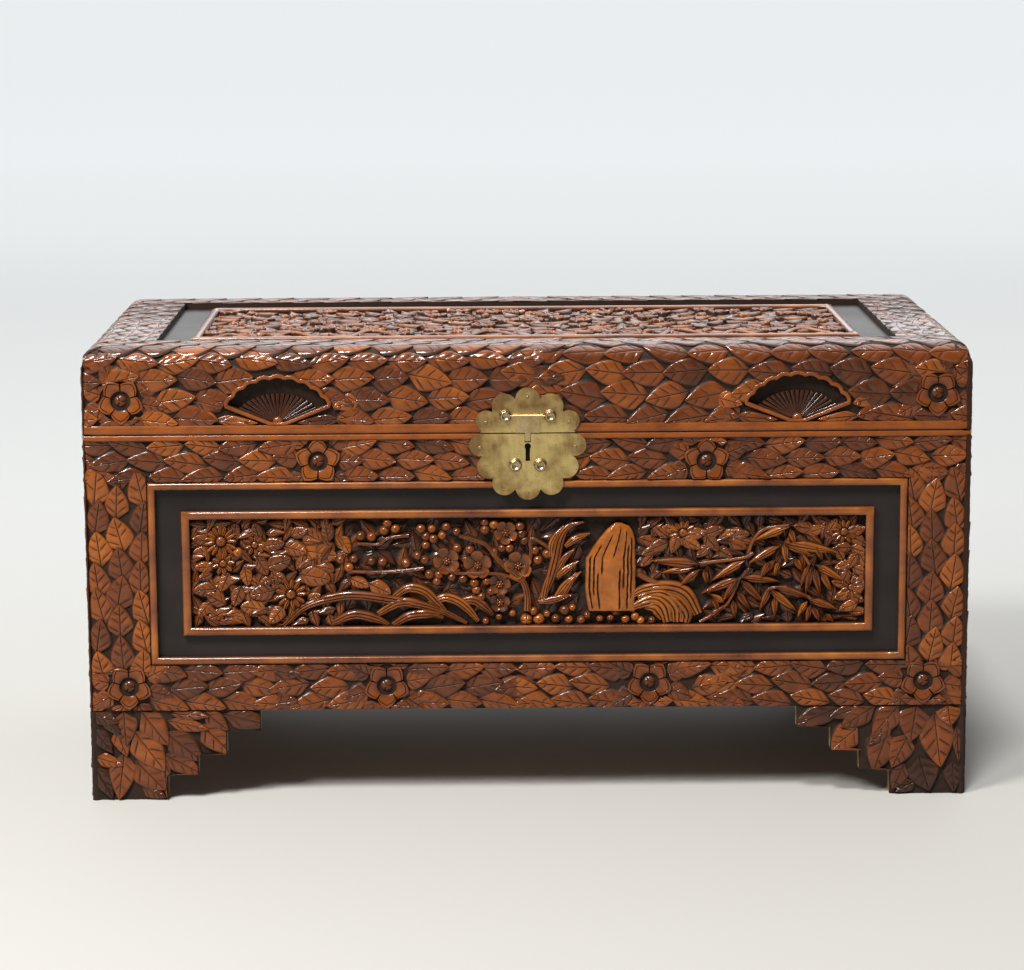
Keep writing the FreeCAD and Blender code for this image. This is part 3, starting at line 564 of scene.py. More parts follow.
class Paint:
    """A material in the making, with short ways to add nodes and to join them."""

    def __init__(self, name):
        self.material = bpy.data.materials.new(name)
        self.material.use_nodes = True
        self.tree = self.material.node_tree
        self.shader = self.tree.nodes["Principled BSDF"]
        self.where = self.add("ShaderNodeTexCoord").outputs["Object"]

    def add(self, kind, **settings):
        node = self.tree.nodes.new(kind)
        for key, value in settings.items():
            setattr(node, key, value)
        return node

    def feed(self, value, socket):
        """Links another node's output to a socket, or sets the socket to a constant."""
        if isinstance(value, bpy.types.NodeSocket):
            self.tree.links.new(value, socket)
        else:
            socket.default_value = (*value, 1) if socket.type == "RGBA" else value

    def set(self, **values):
        """Feeds the shader: base_color is its Base Color, and so on."""
        for key, value in values.items():
            label = key.replace("_", " ").title().replace("Ior", "IOR")
            self.feed(value, self.shader.inputs[label])

    def attribute(self, name):
        return self.add("ShaderNodeAttribute", attribute_name=name).outputs["Fac"]

    def axis(self, name):
        place = self.add("ShaderNodeSeparateXYZ")
        self.feed(self.where, place.inputs[0])
        return place.outputs[name]

    def math(self, operation, *values):
        node = self.add("ShaderNodeMath", operation=operation)
        for value, socket in zip(values, node.inputs):
            self.feed(value, socket)
        return node.outputs[0]

    def noise(self, scale, detail=3.0, stretch=(1, 1, 1)):
        mapping = self.add("ShaderNodeMapping")
        self.feed(self.where, mapping.inputs["Vector"])
        self.feed(stretch, mapping.inputs["Scale"])
        texture = self.add("ShaderNodeTexNoise")
        self.feed(mapping.outputs["Vector"], texture.inputs["Vector"])
        self.feed(scale, texture.inputs["Scale"])
        self.feed(detail, texture.inputs["Detail"])
        return texture.outputs["Fac"]

    def ramp(self, value, *stops):
        node = self.add("ShaderNodeValToRGB")
        elements = node.color_ramp.elements
        while len(elements) < len(stops):
            elements.new(0.5)
        for element, (position, color) in zip(elements, stops):
            element.position = position
            element.color = (*color, 1)
        self.feed(value, node.inputs["Fac"])
        return node.outputs["Color"]

    def mixed(self, factor, first, second, blend="MIX"):
        node = self.add("ShaderNodeMix", data_type="RGBA", blend_type=blend)
        for value, socket in ((factor, node.inputs[0]), (first, node.inputs[6]), (second, node.inputs[7])):
            self.feed(value, socket)
        return node.outputs[2]

    def bump(self, height, strength, distance):
        node = self.add("ShaderNodeBump")
        self.feed(height, node.inputs["Height"])
        self.feed(strength, node.inputs["Strength"])
        self.feed(distance, node.inputs["Distance"])
        self.set(normal=node.outputs["Normal"])


def carved_lacquer(name, low, middle, high, stretch):
    """Amber lacquer over leaves that each have their own tone, dark in the cuts and hollows with stain and
    painted shade.
    """
    m = Paint(name)
    patches = m.noise(38.0, 4.0)
    grain = m.noise(150.0, 5.0, stretch)
    tone = m.math("MULTIPLY_ADD", m.math("MULTIPLY_ADD", patches, 0.9, m.attribute("tint")), 0.72, -0.16)
    wood = m.ramp(tone, (0.0, low), (0.5, middle), (1.0, high))
    wood = m.mixed(0.7, wood, m.ramp(grain, (0.3, grey(0.62)), (0.62, grey(1.0))), "MULTIPLY")
    # The dark attribute is stain and painted shade: the cuts, grooves and sunk ground, and a painted shadow
    # at each leaf's heel. It mixes the wood to the near-black brown below.
    stain_and_shade = m.ramp(m.attribute("dark"), (0.05, grey(0.0)), (0.7, grey(1.0)))
    gloss = m.ramp(patches, (0.3, grey(0.2)), (0.7, grey(0.4)))
    m.set(base_color=m.mixed(stain_and_shade, wood, (0.022, 0.0115, 0.0075)),
          roughness=m.mixed(stain_and_shade, gloss, grey(0.62)), coat_weight=m.mixed(stain_and_shade, grey(0.6), grey(0.02)),
          coat_roughness=0.09, specular_ior_level=0.15)
    m.bump(m.noise(260.0), 0.35, 0.0006)
    return m.material


def moulding_lacquer():
    """The clear amber lacquer of the plain beads and frames."""
    m = Paint("moulding_lacquer")
    patches = m.noise(22.0, 5.0)
    grain = m.noise(90.0, 4.0, (0.12, 0.5, 1.0))
    wood = m.ramp(patches, (0.25, (0.075, 0.018, 0.003)), (0.5, (0.19, 0.048, 0.005)),
                  (0.75, (0.34, 0.105, 0.009)))
    wood = m.mixed(0.6, wood, m.ramp(grain, (0.3, grey(0.6)), (0.65, grey(1.0))), "MULTIPLY")
    # Stain and painted shade where the beads and frames drop away to the ground, from the dark attribute.
    stain_and_shade = m.ramp(m.attribute("dark"), (0.1, grey(0.0)), (0.8, grey(1.0)))
    m.set(base_color=m.mixed(stain_and_shade, wood, (0.014, 0.008, 0.006)),
          roughness=m.ramp(patches, (0.3, grey(0.22)), (0.7, grey(0.4))),
          coat_weight=0.8, coat_roughness=0.12, specular_ior_level=0.2)
    m.bump(m.noise(180.0), 0.3, 0.0006)
    return m.material


def camphor(m, low, high, stretch):
    """The colour of plain wood: fine grain over broad bands."""
    color = m.ramp(m.noise(210.0, 7.0, stretch), (0.32, low), (0.68, high))
    bands = m.ramp(m.noise(16.0, 4.0, stretch), (0.3, grey(0.62)), (0.7, grey(1.0)))
    return m.mixed(0.6, color, bands, "MULTIPLY")


def raw_inside(m, color):
    """Turns a colour to raw wood on the faces that look into the chest, which were never finished."""
    inside = 1.0
    for axis, reach in zip("XYZ", (HALF_L - WALL + 1, HALF_D - WALL + 1, LID_INNER + 1)):
        within = m.math("LESS_THAN", m.math("ABSOLUTE", m.axis(axis)), reach * MM)
        inside = m.math("MULTIPLY", inside, within)
    return m.mixed(inside, color, camphor(m, *RAW_WOOD))


def black_lacquer():
    """Flat near-black board with a faint dusty sheen and worn patches."""
    m = Paint("black_lacquer")
    clouds = m.noise(9.0, 6.0)
    grain = m.noise(60.0, 5.0, (0.08, 0.4, 1.0))
    color = m.ramp(clouds, (0.3, (0.012, 0.008, 0.007)), (0.62, (0.02, 0.014, 0.013)),
                   (0.8, (0.035, 0.021, 0.016)))
    color = m.mixed(0.6, color, m.ramp(grain, (0.3, grey(0.55)), (0.7, grey(1.0))), "MULTIPLY")
    m.set(base_color=raw_inside(m, color), roughness=m.ramp(clouds, (0.25, grey(0.32)), (0.75, grey(0.48))),
          specular_ior_level=0.24)
    m.bump(grain, 0.12, 0.0004)
    return m.material


def plate_brass():
    """Hand-beaten sheet brass: brighter in the middle and darker towards the edges, partly polish and tarnish
    and partly painted shading of a domed plate, with tarnish in clouds and streaks.
    """
    m = Paint("plate_brass")
    # Painted shading: brighter near the lock's middle and darker outwards, as on a domed plate, mixed with
    # polish and tarnish.
    reach = m.add("ShaderNodeVectorMath", operation="DISTANCE")
    m.feed(m.where, reach.inputs[0])
    m.feed((0.004, -HALF_D * MM, 0.403), reach.inputs[1])
    clouds = m.noise(48.0, 6.0)
    streaks = m.noise(210.0, 4.0, (1.0, 1.0, 0.12))
    specks = m.ramp(m.noise(520.0), (0.29, grey(0.75)), (0.36, grey(0.0)))
    wear_and_dome_shading = m.math("MULTIPLY_ADD", reach.outputs["Value"], -7.0, clouds)
    color = m.ramp(wear_and_dome_shading, (0.0, (0.29, 0.175, 0.07)), (0.16, (0.47, 0.325, 0.13)), (0.34, (0.68, 0.52, 0.21)))
    color = m.mixed(0.55, color, m.ramp(streaks, (0.3, grey(0.72)), (0.6, grey(1.0))), "MULTIPLY")
    m.set(base_color=m.mixed(specks, color, (0.13, 0.08, 0.035)), metallic=1.0,
          roughness=m.ramp(streaks, (0.3, grey(0.46)), (0.7, grey(0.3))))
    m.bump(m.math("MULTIPLY_ADD", clouds, 6.0, streaks), 0.35, 0.0006)
    return m.material


def worked_brass():
    """Brass that is rubbed bright where it stands proud, and dark in its hollows with tarnish and painted
    shade.
    """
    m = Paint("worked_brass")
    dark = m.attribute("dark")
    clouds = m.noise(160.0, 4.0)
    color = m.ramp(clouds, (0.35, (0.42, 0.30, 0.14)), (0.65, (0.66, 0.54, 0.34)))
    m.set(base_color=m.mixed(dark, color, (0.085, 0.05, 0.028)), metallic=1.0,
          roughness=m.ramp(dark, (0.0, grey(0.2)), (1.0, grey(0.5))))
    m.bump(clouds, 0.1, 0.0002)
    return m.material


def plain_wood(name, low, high, stretch, roughness, inside=False):
    """Uncarved boards, raw on the faces inside the chest if asked."""
    m = Paint(name)
    color = camphor(m, low, high, stretch)
    grain = m.noise(160.0, 6.0, stretch)
    m.set(base_color=raw_inside(m, color) if inside else color,
          roughness=m.ramp(grain, (0.2, grey(roughness - 0.1)), (0.8, grey(roughness + 0.1))))
    m.bump(grain, 0.25, 0.0005)
    return m.material


def metal(name, base, tarnish, roughness, amount=0.5):
    """Aged sheet metal: tarnish in clouds and speckles over the polished colour."""
    m = Paint(name)
    clouds = m.noise(55.0, 6.0)
    specks = m.ramp(m.noise(420.0, 4.0), (0.3, grey(0.7)), (0.37, grey(0.0)))
    color = m.ramp(clouds, (0.34, tarnish), (0.34 + amount * 0.5, base))
    m.set(base_color=m.mixed(specks, color, tarnish), metallic=1.0,
          roughness=m.ramp(clouds, (0.3, grey(roughness + 0.16)), (0.7, grey(roughness))))
    m.bump(m.noise(700.0, 3.0, (0.08, 1.0, 1.0)), 0.12, 0.0002)
    return m.material


def floor_paint():
    """Pale and even, painted lighter far behind the chest than in front of it, as painted light that stands
    in for a brightly lit backdrop.
    """
    m = Paint("pale_floor")
    # Painted light: the floor's colour rises with distance behind the chest, standing in for a brightly lit
    # backdrop.
    m.set(base_color=m.ramp(m.math("MULTIPLY", m.axis("Y"), 0.1), (0.0, (0.405, 0.40, 0.38)),
                            (0.16, (0.57, 0.585, 0.59)), (0.66, (0.80, 0.84, 0.87)),
                            (1.0, (0.86, 0.90, 0.94))), roughness=0.8)
    return m.material


RAW_WOOD = (0.20, 0.10, 0.045), (0.42, 0.25, 0.13), (0.05, 0.8, 1.0)
STAINED_WOOD = (0.045, 0.018, 0.008), (0.12, 0.045, 0.016), (0.04, 0.8, 1.0)
CARVED_FRONT = carved_lacquer("carved_lacquer", (0.034, 0.0090, 0.003), (0.143, 0.0315, 0.0033),
                              (0.29, 0.074, 0.005), (0.35, 0.6, 1.0))
CARVED_TABLET = carved_lacquer("carved_tablet_lacquer", (0.048, 0.0125, 0.004), (0.165, 0.040, 0.0045),
                               (0.33, 0.095, 0.008), (0.6, 0.6, 1.0))
MOULDING = moulding_lacquer()
BLACK = black_lacquer()
RAW = plain_wood("camphor_wood", *RAW_WOOD, 0.55)
STAINED = plain_wood("stained_back", *STAINED_WOOD, 0.45, inside=True)
BRASS = metal("aged_brass", (0.53, 0.39, 0.15), (0.36, 0.25, 0.085), 0.36, 0.8)
BRIGHT_BRASS = metal("worn_brass", (0.60, 0.45, 0.24), (0.40, 0.28, 0.12), 0.22)
WORKED_BRASS = worked_brass()
PLATE_BRASS = plate_brass()
IRON = metal("plain_iron", (0.35, 0.34, 0.33), (0.10, 0.08, 0.07), 0.42)
# A carved mesh has two materials: the carving, and the plain core behind it.
CARVED, TABLET = (CARVED_FRONT, RAW), (CARVED_TABLET, RAW)

# ---------------------------------------------------------------- carcase front
random_front = np.random.default_rng(7)
LOCK_SPOT = (0.0, 406.0)
TOP_FLOWERS = [(-235.0, 390.5), (200.5, 388.0)]
BOTTOM_FLOWERS = [(-453.0, 132.5), (-161.0, 132.0), (137.0, 133.5), (448.0, 133.0)]

# The upright corners are left uncarved and painted dark as the shade on their rounded edges: a thin strip on
# the left, a wider one on the right.
STRIP_AT = [-HALF_L, -HALF_L + 2.5, -HALF_L + 5.0, HALF_L - 10.0, HALF_L - 7.5, HALF_L]
STRIP_H = [-0.3, -0.4, GROUND, GROUND, -0.4, -0.3]
STRIP_DARK = [0.5, 0.55, 0.96, 0.96, 0.62, 0.55]
FRONT_LEFT, FRONT_RIGHT = -HALF_L + 3.0, HALF_L - 8.5
END_AT = [-HALF_D, -HALF_D + 3.0, -HALF_D + 5.5, HALF_D - 5.5, HALF_D - 3.0, HALF_D]


def across(places, values):
    """A function of (u, v) that changes along u alone."""
    return lambda u, v: np.interp(u, places, values)


corner_depth, corner_dark = across(STRIP_AT, STRIP_H), across(STRIP_AT, STRIP_DARK)
end_corner_depth, end_corner_dark = across(END_AT, STRIP_H), across(END_AT, STRIP_DARK)


def rail_leaves(c, segments, middle, gap, spots, rng, size, covered=()):
    """Three rows of leaves, clear of the flowers and of what is covered by the lock."""
    keep = clear_of([(u, v, FLOWER_R) for u, v in spots] + [(u, v, 30.0) for u, v in covered])
    for u0, u1, heading in segments:
        leaf_rows(c, u0, u1, middle - gap, gap, 3, heading, *size, rng, keep=keep)


def build_top_rail():
    c = Carving(wall_map("front"))
    z0, z1 = TOP_RAIL_LOW[2], TOP_RAIL_HIGH[2]
    c.box((-HALF_L + CORE_END, -HALF_D + CORE_FACE, z0), (HALF_L - CORE_END, -HALF_D + WALL, z1))
    ground(c, -HALF_L, HALF_L, z0, z1 - 5, corner_depth, SHEET_EDGE, dark=corner_dark, lines=STRIP_AT, seed=1)
    strip(c, -HALF_L, HALF_L, z1 - 6.5, z1, SHEET_EDGE, random_front)
    limit = clip_box(FRONT_LEFT, FRONT_RIGHT, z0 + 1, z1 - 6.5)
    c.on(wall_map("front"), outside_of(limit, flower_spots(TOP_FLOWERS)))
    segments = [(-HALF_L, TOP_FLOWERS[0][0] - 4, 180), (TOP_FLOWERS[0][0] + 4, 0, 0),
                (0, TOP_FLOWERS[1][0] - 4, 180), (TOP_FLOWERS[1][0] + 4, HALF_L, 0)]
    wreath(c, TOP_FLOWERS, random_front)
    rail_leaves(c, segments, 391.0, 18.0, TOP_FLOWERS, random_front, TOP_RAIL_LEAF, [LOCK_SPOT])
    c.on(wall_map("front"), clip_box(-HALF_L, HALF_L, z0 + 1, z1 - 6.5))
    for u, v in TOP_FLOWERS:
        flower(c, u, v, FLOWER_R, random_front)
    c.finish("front_top_rail_carved", "carcase", CARVED, ["front_top_rail"])


def build_bottom_rail():
    c = Carving(wall_map("front"))
    z0, z1 = BOTTOM_RAIL_LOW[2], BOTTOM_RAIL_HIGH[2]
    c.box((-HALF_L + CORE_END, -HALF_D + CORE_FACE, z0), (HALF_L - CORE_END, -HALF_D + WALL, z1))
    ground(c, -HALF_L, HALF_L, z0 + 0.3, z1, corner_depth, SHEET_EDGE, dark=corner_dark, lines=STRIP_AT,
           seed=2)
    limit = clip_box(FRONT_LEFT, FRONT_RIGHT, z0 + 1, z1 - 1)
    c.on(wall_map("front"), outside_of(limit, flower_spots(BOTTOM_FLOWERS)))
    segments = [(-HALF_L, -457, 180), (-449, -285, 0), (-285, -165, 180), (-157, -8, 0), (-8, 133, 180),
                (141, 225, 0), (225, 444, 180), (452, HALF_L, 0)]
    wreath(c, BOTTOM_FLOWERS, random_front)
    rail_leaves(c, segments, 131.0, 19.5, BOTTOM_FLOWERS, random_front, BOTTOM_RAIL_LEAF)
    c.on(wall_map("front"), clip_box(-HALF_L, HALF_L, z0 + 0.5, z1 - 0.5))
    for u, v in BOTTOM_FLOWERS:
        flower(c, u, v, FLOWER_R, random_front, turn=-90)
    c.finish("front_bottom_rail_carved", "carcase", CARVED, ["front_bottom_rail"])


def stile_leaves(c, edge, inward, foot, rng, **options):
    """Three staggered columns of broad leaves that point up."""
    for column, d in enumerate((12.0, 37.0, 62.0)):
        for row in range(7):
            z = foot - 2 + 34 * row + (17 if column == 1 else 0) + rng.uniform(-2.5, 2.5)
            leaf(c, edge + inward * (d + rng.uniform(-2, 2)), z, 90 + rng.uniform(-14, 14),
                 rng.uniform(40, 46), rng.uniform(32, 38), rng, top=rng.uniform(-0.6, 0.0),
                 tint=rng.uniform(0.1, 1.0), **options)


def build_stile(name, side):
    c = Carving(wall_map("front"))
    low, high = node_box(f"front_{name}_stile")
    c.box((max(low[0], -HALF_L + CORE_END), low[1] + CORE_FACE, low[2]),
          (min(high[0], HALF_L - CORE_END), high[1], high[2]))
    ground(c, low[0], high[0], low[2], high[2], corner_depth, SHEET_EDGE, dark=corner_dark, seed=3 + side,
           lines=STRIP_AT)
    inner, outer = sorted((side * (PANEL_X + 1), FRONT_LEFT if side < 0 else FRONT_RIGHT))
    c.on(wall_map("front"), clip_box(inner, outer, low[2] - 8, high[2] + 12))
    stile_leaves(c, FRONT_LEFT if side < 0 else FRONT_RIGHT + 2, -side, low[2], random_front)
    c.finish(f"front_{name}_stile_carved", "carcase", CARVED,
             [f"front_{name}_stile"])


def build_mouldings():
    c = Carving(wall_map("front"))
    low, high = node_box("front_field_moulding")
    frame_ring(c, low[0], high[0], low[2], high[2], 8.5, -10.4, -0.6, random_front)
    c.finish("front_field_moulding_rounded", "carcase", (MOULDING,),
             ["front_field_moulding"])
    for node, mapping in (("front_tablet_frame", wall_map("front")), ("left_tablet_frame", wall_map("left")),
                          ("right_tablet_frame", wall_map("right"))):
        c = Carving(mapping)
        low, high = node_box(node)
        axis = 0 if node.startswith("front") else 1
        frame_ring(c, low[axis], high[axis], low[2], high[2], 9.5, -10.4, -1.6, random_front)
        c.finish(node + "_rounded", "carcase", (MOULDING,), [node])
    c = Carving(TOP_MAP)
    low, high = node_box("lid_tablet_frame")
    frame_ring(c, low[0], high[0], low[1], high[1], 9.5, -8.4, -2.1, random_front)
    c.finish("lid_tablet_frame_rounded", "lid", (MOULDING,), ["lid_tablet_frame"])


# ---------------------------------------------------------------- lock fittings
PLATE_FACE, NAIL_R = 1.3, 1.9
# Rings out from the middle of a turned boss: share of its radius, height over the plate, darkness. The
# darkness is tarnish and painted shade, such as the painted shadow ring where the crown steps down and at the
# foot.
BOSS = [(0.0, 3.6, 0.9), (0.1, 3.7, 0.35), (0.36, 3.9, 0.3), (0.44, 4.4, 0.75), (0.5, 4.9, 0.15),
        (0.6, 5.2, 0.0), (0.7, 4.9, 0.0), (0.77, 4.0, 0.1), (0.8, 2.4, 0.9), (0.86, 1.7, 0.25),
        (0.95, 1.3, 0.1), (1.0, 0.7, 0.5), (1.0, -0.1, 1.0)]
NAIL = [(0.0, 0.5, 0.75), (0.25, 0.62, 0.4), (0.6, 0.65, 0.3), (0.85, 0.5, 0.6), (1.0, 0.2, 1.0),
        (1.0, -0.1, 1.0)]


def turned(c, x, z, radius, profile, around=40):
    """A round boss or nail head turned about a line straight out of the front."""
    share, rise, dark = (np.array(column)[None, :] for column in zip(*profile))
    turn = np.linspace(0, 2 * math.pi, around + 1)[:, None]
    c.grid(x + radius * share * np.cos(turn), z + radius * share * np.sin(turn), PLATE_FACE + rise + 0 * turn,
           dark + 0 * turn)


def build_lock_fittings():
    """The hollow-headed bosses, the nails of the lock plates, and the pin that the hasp hangs on."""
    c = Carving(wall_map("front"))
    low, high = node_box("lock_studs")
    radius = (high[2] - low[2]) / 2
    for x in (low[0] + radius, high[0] - radius):
        turned(c, x, low[2] + radius, radius, BOSS)
    c.finish("lock_studs_turned", "carcase", (WORKED_BRASS,), ["lock_studs"])

    c = Carving(wall_map("front"))
    low, high = node_box("hasp_pin_and_posts")
    radius = (high[2] - low[2]) / 2
    posts = (low[0] + radius, high[0] - radius)
    for x in posts:
        turned(c, x, low[2] + radius, radius, BOSS)
    c.finish("hasp_posts_turned", "lid", (WORKED_BRASS,), ["hasp_pin_and_posts"])
    barrel_low, barrel_high = node_box("hasp")
    pin_y = barrel_low[1] + (barrel_high[2] - low[2] - radius)
    bpy.ops.mesh.primitive_cylinder_add(vertices=24, radius=1.1 * MM,
                                        depth=(posts[1] - posts[0] - radius) * MM,
                                        location=(0, pin_y * MM, (low[2] + radius) * MM),
                                        rotation=(0, math.pi / 2, 0))
    pin = bpy.context.object
    pin.name = "hasp_pin_rod"
    pin.data.materials.append(BRIGHT_BRASS)
    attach(pin, "lid")

    for node, body in (("lock_plate_nails_upper", "lid"), ("lock_plate_nails_lower", "carcase")):
        c = Carving(wall_map("front"))
        low, high = node_box(node)
        top, side, foot = high[2] - NAIL_R, high[0] - NAIL_R, low[2] + NAIL_R
        single, pair = (top, foot) if body == "lid" else (foot, top)
        for x, z in ((0, single), (side, pair), (-side, pair)):
            turned(c, x, z, NAIL_R, NAIL, 20)
        c.finish(node + "_turned", body, (WORKED_BRASS,), [node])


# ---------------------------------------------------------------- the long front tablet
# Leaves: (u, v, heading, length), v being measured from the tablet's lower edge.
LEFT_LEAVES = [
    (-367, 86, 180, 20), (-366, 69, 180, 18), (-364, 58, 200, 16), (-365, 43, 185, 25), (-342, 52, 245, 22),
    (-318, 58, 280, 20), (-300, 70, 300, 22), (-287, 94, 10, 24), (-282, 73, 20, 29), (-263, 89, -15, 26),
    (-244, 103, 150, 29), (-226, 107, 100, 20), (-207, 94, -60, 22), (-236, 84, -10, 38), (-255, 72, 80, 21),
    (-232, 68, -15, 26), (-241, 57, -10, 34), (-300, 39, 190, 28), (-328, 36, 250, 23), (-352, 32, 150, 24),
    (-334, 14, -20, 26), (-310, 21, 170, 29), (-284, 14, 230, 24), (-366, 20, 230, 20), (-352, 13, 200, 20),
    (-191, 50, -25, 22), (-168, 43, -25, 26), (-242, 34, 20, 15), (-368, 100, 170, 19), (-282, 57, -30, 19),
    (-294, 53, 200, 17), (-258, 108, 20, 20), (-330, 110, 80, 18), (-305, 110, 110, 18),
]
RIGHT_LEAVES = [
    (136, 95, 160, 20), (147, 89, 200, 22), (151, 105, 140, 18), (166, 92, 250, 20), (189, 103, 10, 22),
    (184, 92, -30, 22), (161, 109, 170, 18), (209, 105, 20, 22), (207, 93, -50, 22), (224, 101, 30, 20),
    (239, 101, 10, 20), (236, 90, -20, 20), (221, 81, -30, 20), (198, 83, 220, 18), (312, 109, 170, 22),
    (325, 106, 20, 20), (339, 101, -30, 18), (344, 112, 60, 16), (372, 105, 20, 18), (374, 94, -30, 20),
    (356, 86, 180, 18), (373, 83, -20, 18), (367, 71, 240, 18), (379, 71, -60, 18), (356, 65, 200, 18),
    (375, 60, -20, 18), (359, 53, 250, 18), (379, 54, -80, 16), (374, 46, 0, 18), (357, 31, 200, 20),
    (370, 29, -30, 20), (375, 38, 30, 18), (363, 18, 200, 20), (373, 12, 0, 18), (352, 79, 120, 16),
    (138, 83, 200, 18), (134, 72, 220, 16), (352, 45, 170, 16),
]
BERRIES = [(-49, 118), (-49, 109), (-38, 115), (-9, 113), (-8, 104), (-120, 111), (-109, 111), (-91, 113),
           (-96, 103), (-81, 107), (-116, 102), (-106, 99), (-116, 92), (-79, 88), (-66, 86), (-71, 75),
           (-137, 71), (-125, 80), (-116, 75), (-112, 58), (-101, 58), (-103, 50), (-80, 62), (-87, 55),
           (-73, 53), (-60, 48), (-46, 50), (-53, 32), (-58, 40), (-42, 38), (-39, 83), (-30, 88),
           (-20, 88), (-4, 96), (8, 85), (11, 74), (21, 81), (-158, 118), (-162, 109), (-149, 111),
           (-188, 103), (-177, 102), (-211, 76), (-196, 77), (-203, 67), (-177, 74), (-164, 73), (-139, 72)]
BLOSSOMS = [(-92, 74, 16), (-57, 69, 17), (-11, 68, 17), (-25, 106, 14), (-32, 47, 13), (-32, 26, 12)]
BRANCHES = [
    ([(-1, 16), (-1, 34), (-6, 50), (-16, 59), (-32, 73), (-47, 92), (-61, 98), (-78, 103)], (9, 7, 5, 4)),
    ([(-6, 50), (3, 80), (3, 99), (17, 93), (26, 85)], (5, 3.5)),
    ([(-193, 95), (-168, 94), (-158, 101), (-134, 104)], (3, 4)),
    ([(-204, 63), (-174, 62), (-146, 63), (-118, 66)], (3, 4.5)),
    ([(-104, 66), (-80, 60), (-60, 60), (-30, 58), (-8, 50)], (3, 4)),
]
ARCHES = [
    [(-276, 0), (-255, 21), (-224, 32), (-191, 35), (-134, 26), (-110, 20), (-87, 11), (-70, 1)],
    [(-222, 2), (-202, 12), (-186, 12), (-168, 6), (-158, 0)],
    [(-170, 13), (-150, 25), (-134, 27), (-115, 23)],
    [(-154, 31), (-136, 43), (-118, 40), (-104, 27), (-90, 10)],
    [(-112, 25), (-94, 32), (-78, 27), (-66, 16), (-57, 4)],
    [(-153, 0), (-134, 11), (-110, 13), (-96, 8)],
    [(-80, 26), (-63, 29), (-51, 22), (-40, 11)],
]
BLADES = [
    [(13, 26), (24, 50), (31, 75), (36, 98), (46, 113), (63, 118)], [(26, 78), (28, 96), (40, 114)],
    [(42, 90), (54, 99), (70, 105)], [(31, 58), (40, 75), (53, 88)], [(32, 55), (43, 64), (57, 73)],
    [(30, 30), (44, 48), (60, 61)], [(12, 26), (29, 29), (50, 35)], [(38, 32), (47, 48), (54, 60)],
    [(16, 24), (20, 44), (25, 62)],
]
MOUND = [
    [(116, 32), (132, 40), (161, 42), (180, 33), (192, 11)], [(117, 19), (140, 27), (153, 19), (158, 2)],
    [(146, 35), (166, 28), (179, 12), (178, 1)], [(132, 20), (145, 19), (153, 7)],
    [(124, 30), (150, 34), (167, 20), (169, 2)],
]
MOUND_STEM = [(124, 58), (140, 49), (163, 41)]
BAMBOO = [
    (194, 69, 138, 73), (189, 65, 151, 59), (194, 63, 171, 43), (199, 63, 202, 45), (245, 73, 208, 50),
    (238, 52, 196, 35), (236, 51, 220, 25), (239, 51, 267, 23), (241, 53, 283, 48), (236, 37, 251, 15),
    (232, 27, 234, 6), (284, 89, 249, 69), (289, 93, 292, 67), (290, 91, 320, 78), (292, 92, 350, 81),
    (325, 88, 333, 71), (318, 67, 308, 41), (320, 65, 314, 33), (322, 65, 331, 31), (324, 67, 357, 48),
    (331, 59, 343, 35), (273, 39, 262, 15), (279, 31, 279, 7), (273, 39, 304, 13), (279, 41, 317, 30),
    (318, 27, 349, 16), (316, 25, 305, 7), (320, 21, 315, 1), (322, 19, 330, 1), (336, 10, 346, 1),
    (279, 73, 265, 55), (273, 71, 262, 51), (284, 71, 278, 55), (301, 75, 310, 59), (294, 111, 256, 96),
    (295, 109, 302, 89), (209, 31, 216, 13), (206, 8, 222, 20), (222, 24, 206, 34),
]
STEMS = [
    [(194, 69), (209, 71), (243, 75), (254, 81)], [(194, 1), (217, 15), (228, 27), (239, 52)],
    [(249, 81), (254, 95), (267, 108), (294, 112)], [(292, 93), (307, 83), (318, 67)],
    [(265, 25), (273, 39), (292, 41)], [(303, 31), (314, 31), (320, 27)],
]
PEBBLES = [(6, 15, 5), (41, 16, 6), (99, 14, 5), (93, 7, 4), (67, 10, 4), (50, 19, 4), (-18, 13, 4),
           (31, 6, 5), (46, 5, 5), (81, 6, 4), (-33, 9, 4), (-2, 5, 7), (12, 5, 7), (60, 4, 5), (110, 5, 5),
           (121, 8, 5), (127, 3, 5), (140, 4, 4), (-48, 4, 4), (21, 12, 4), (118, 17, 4)]


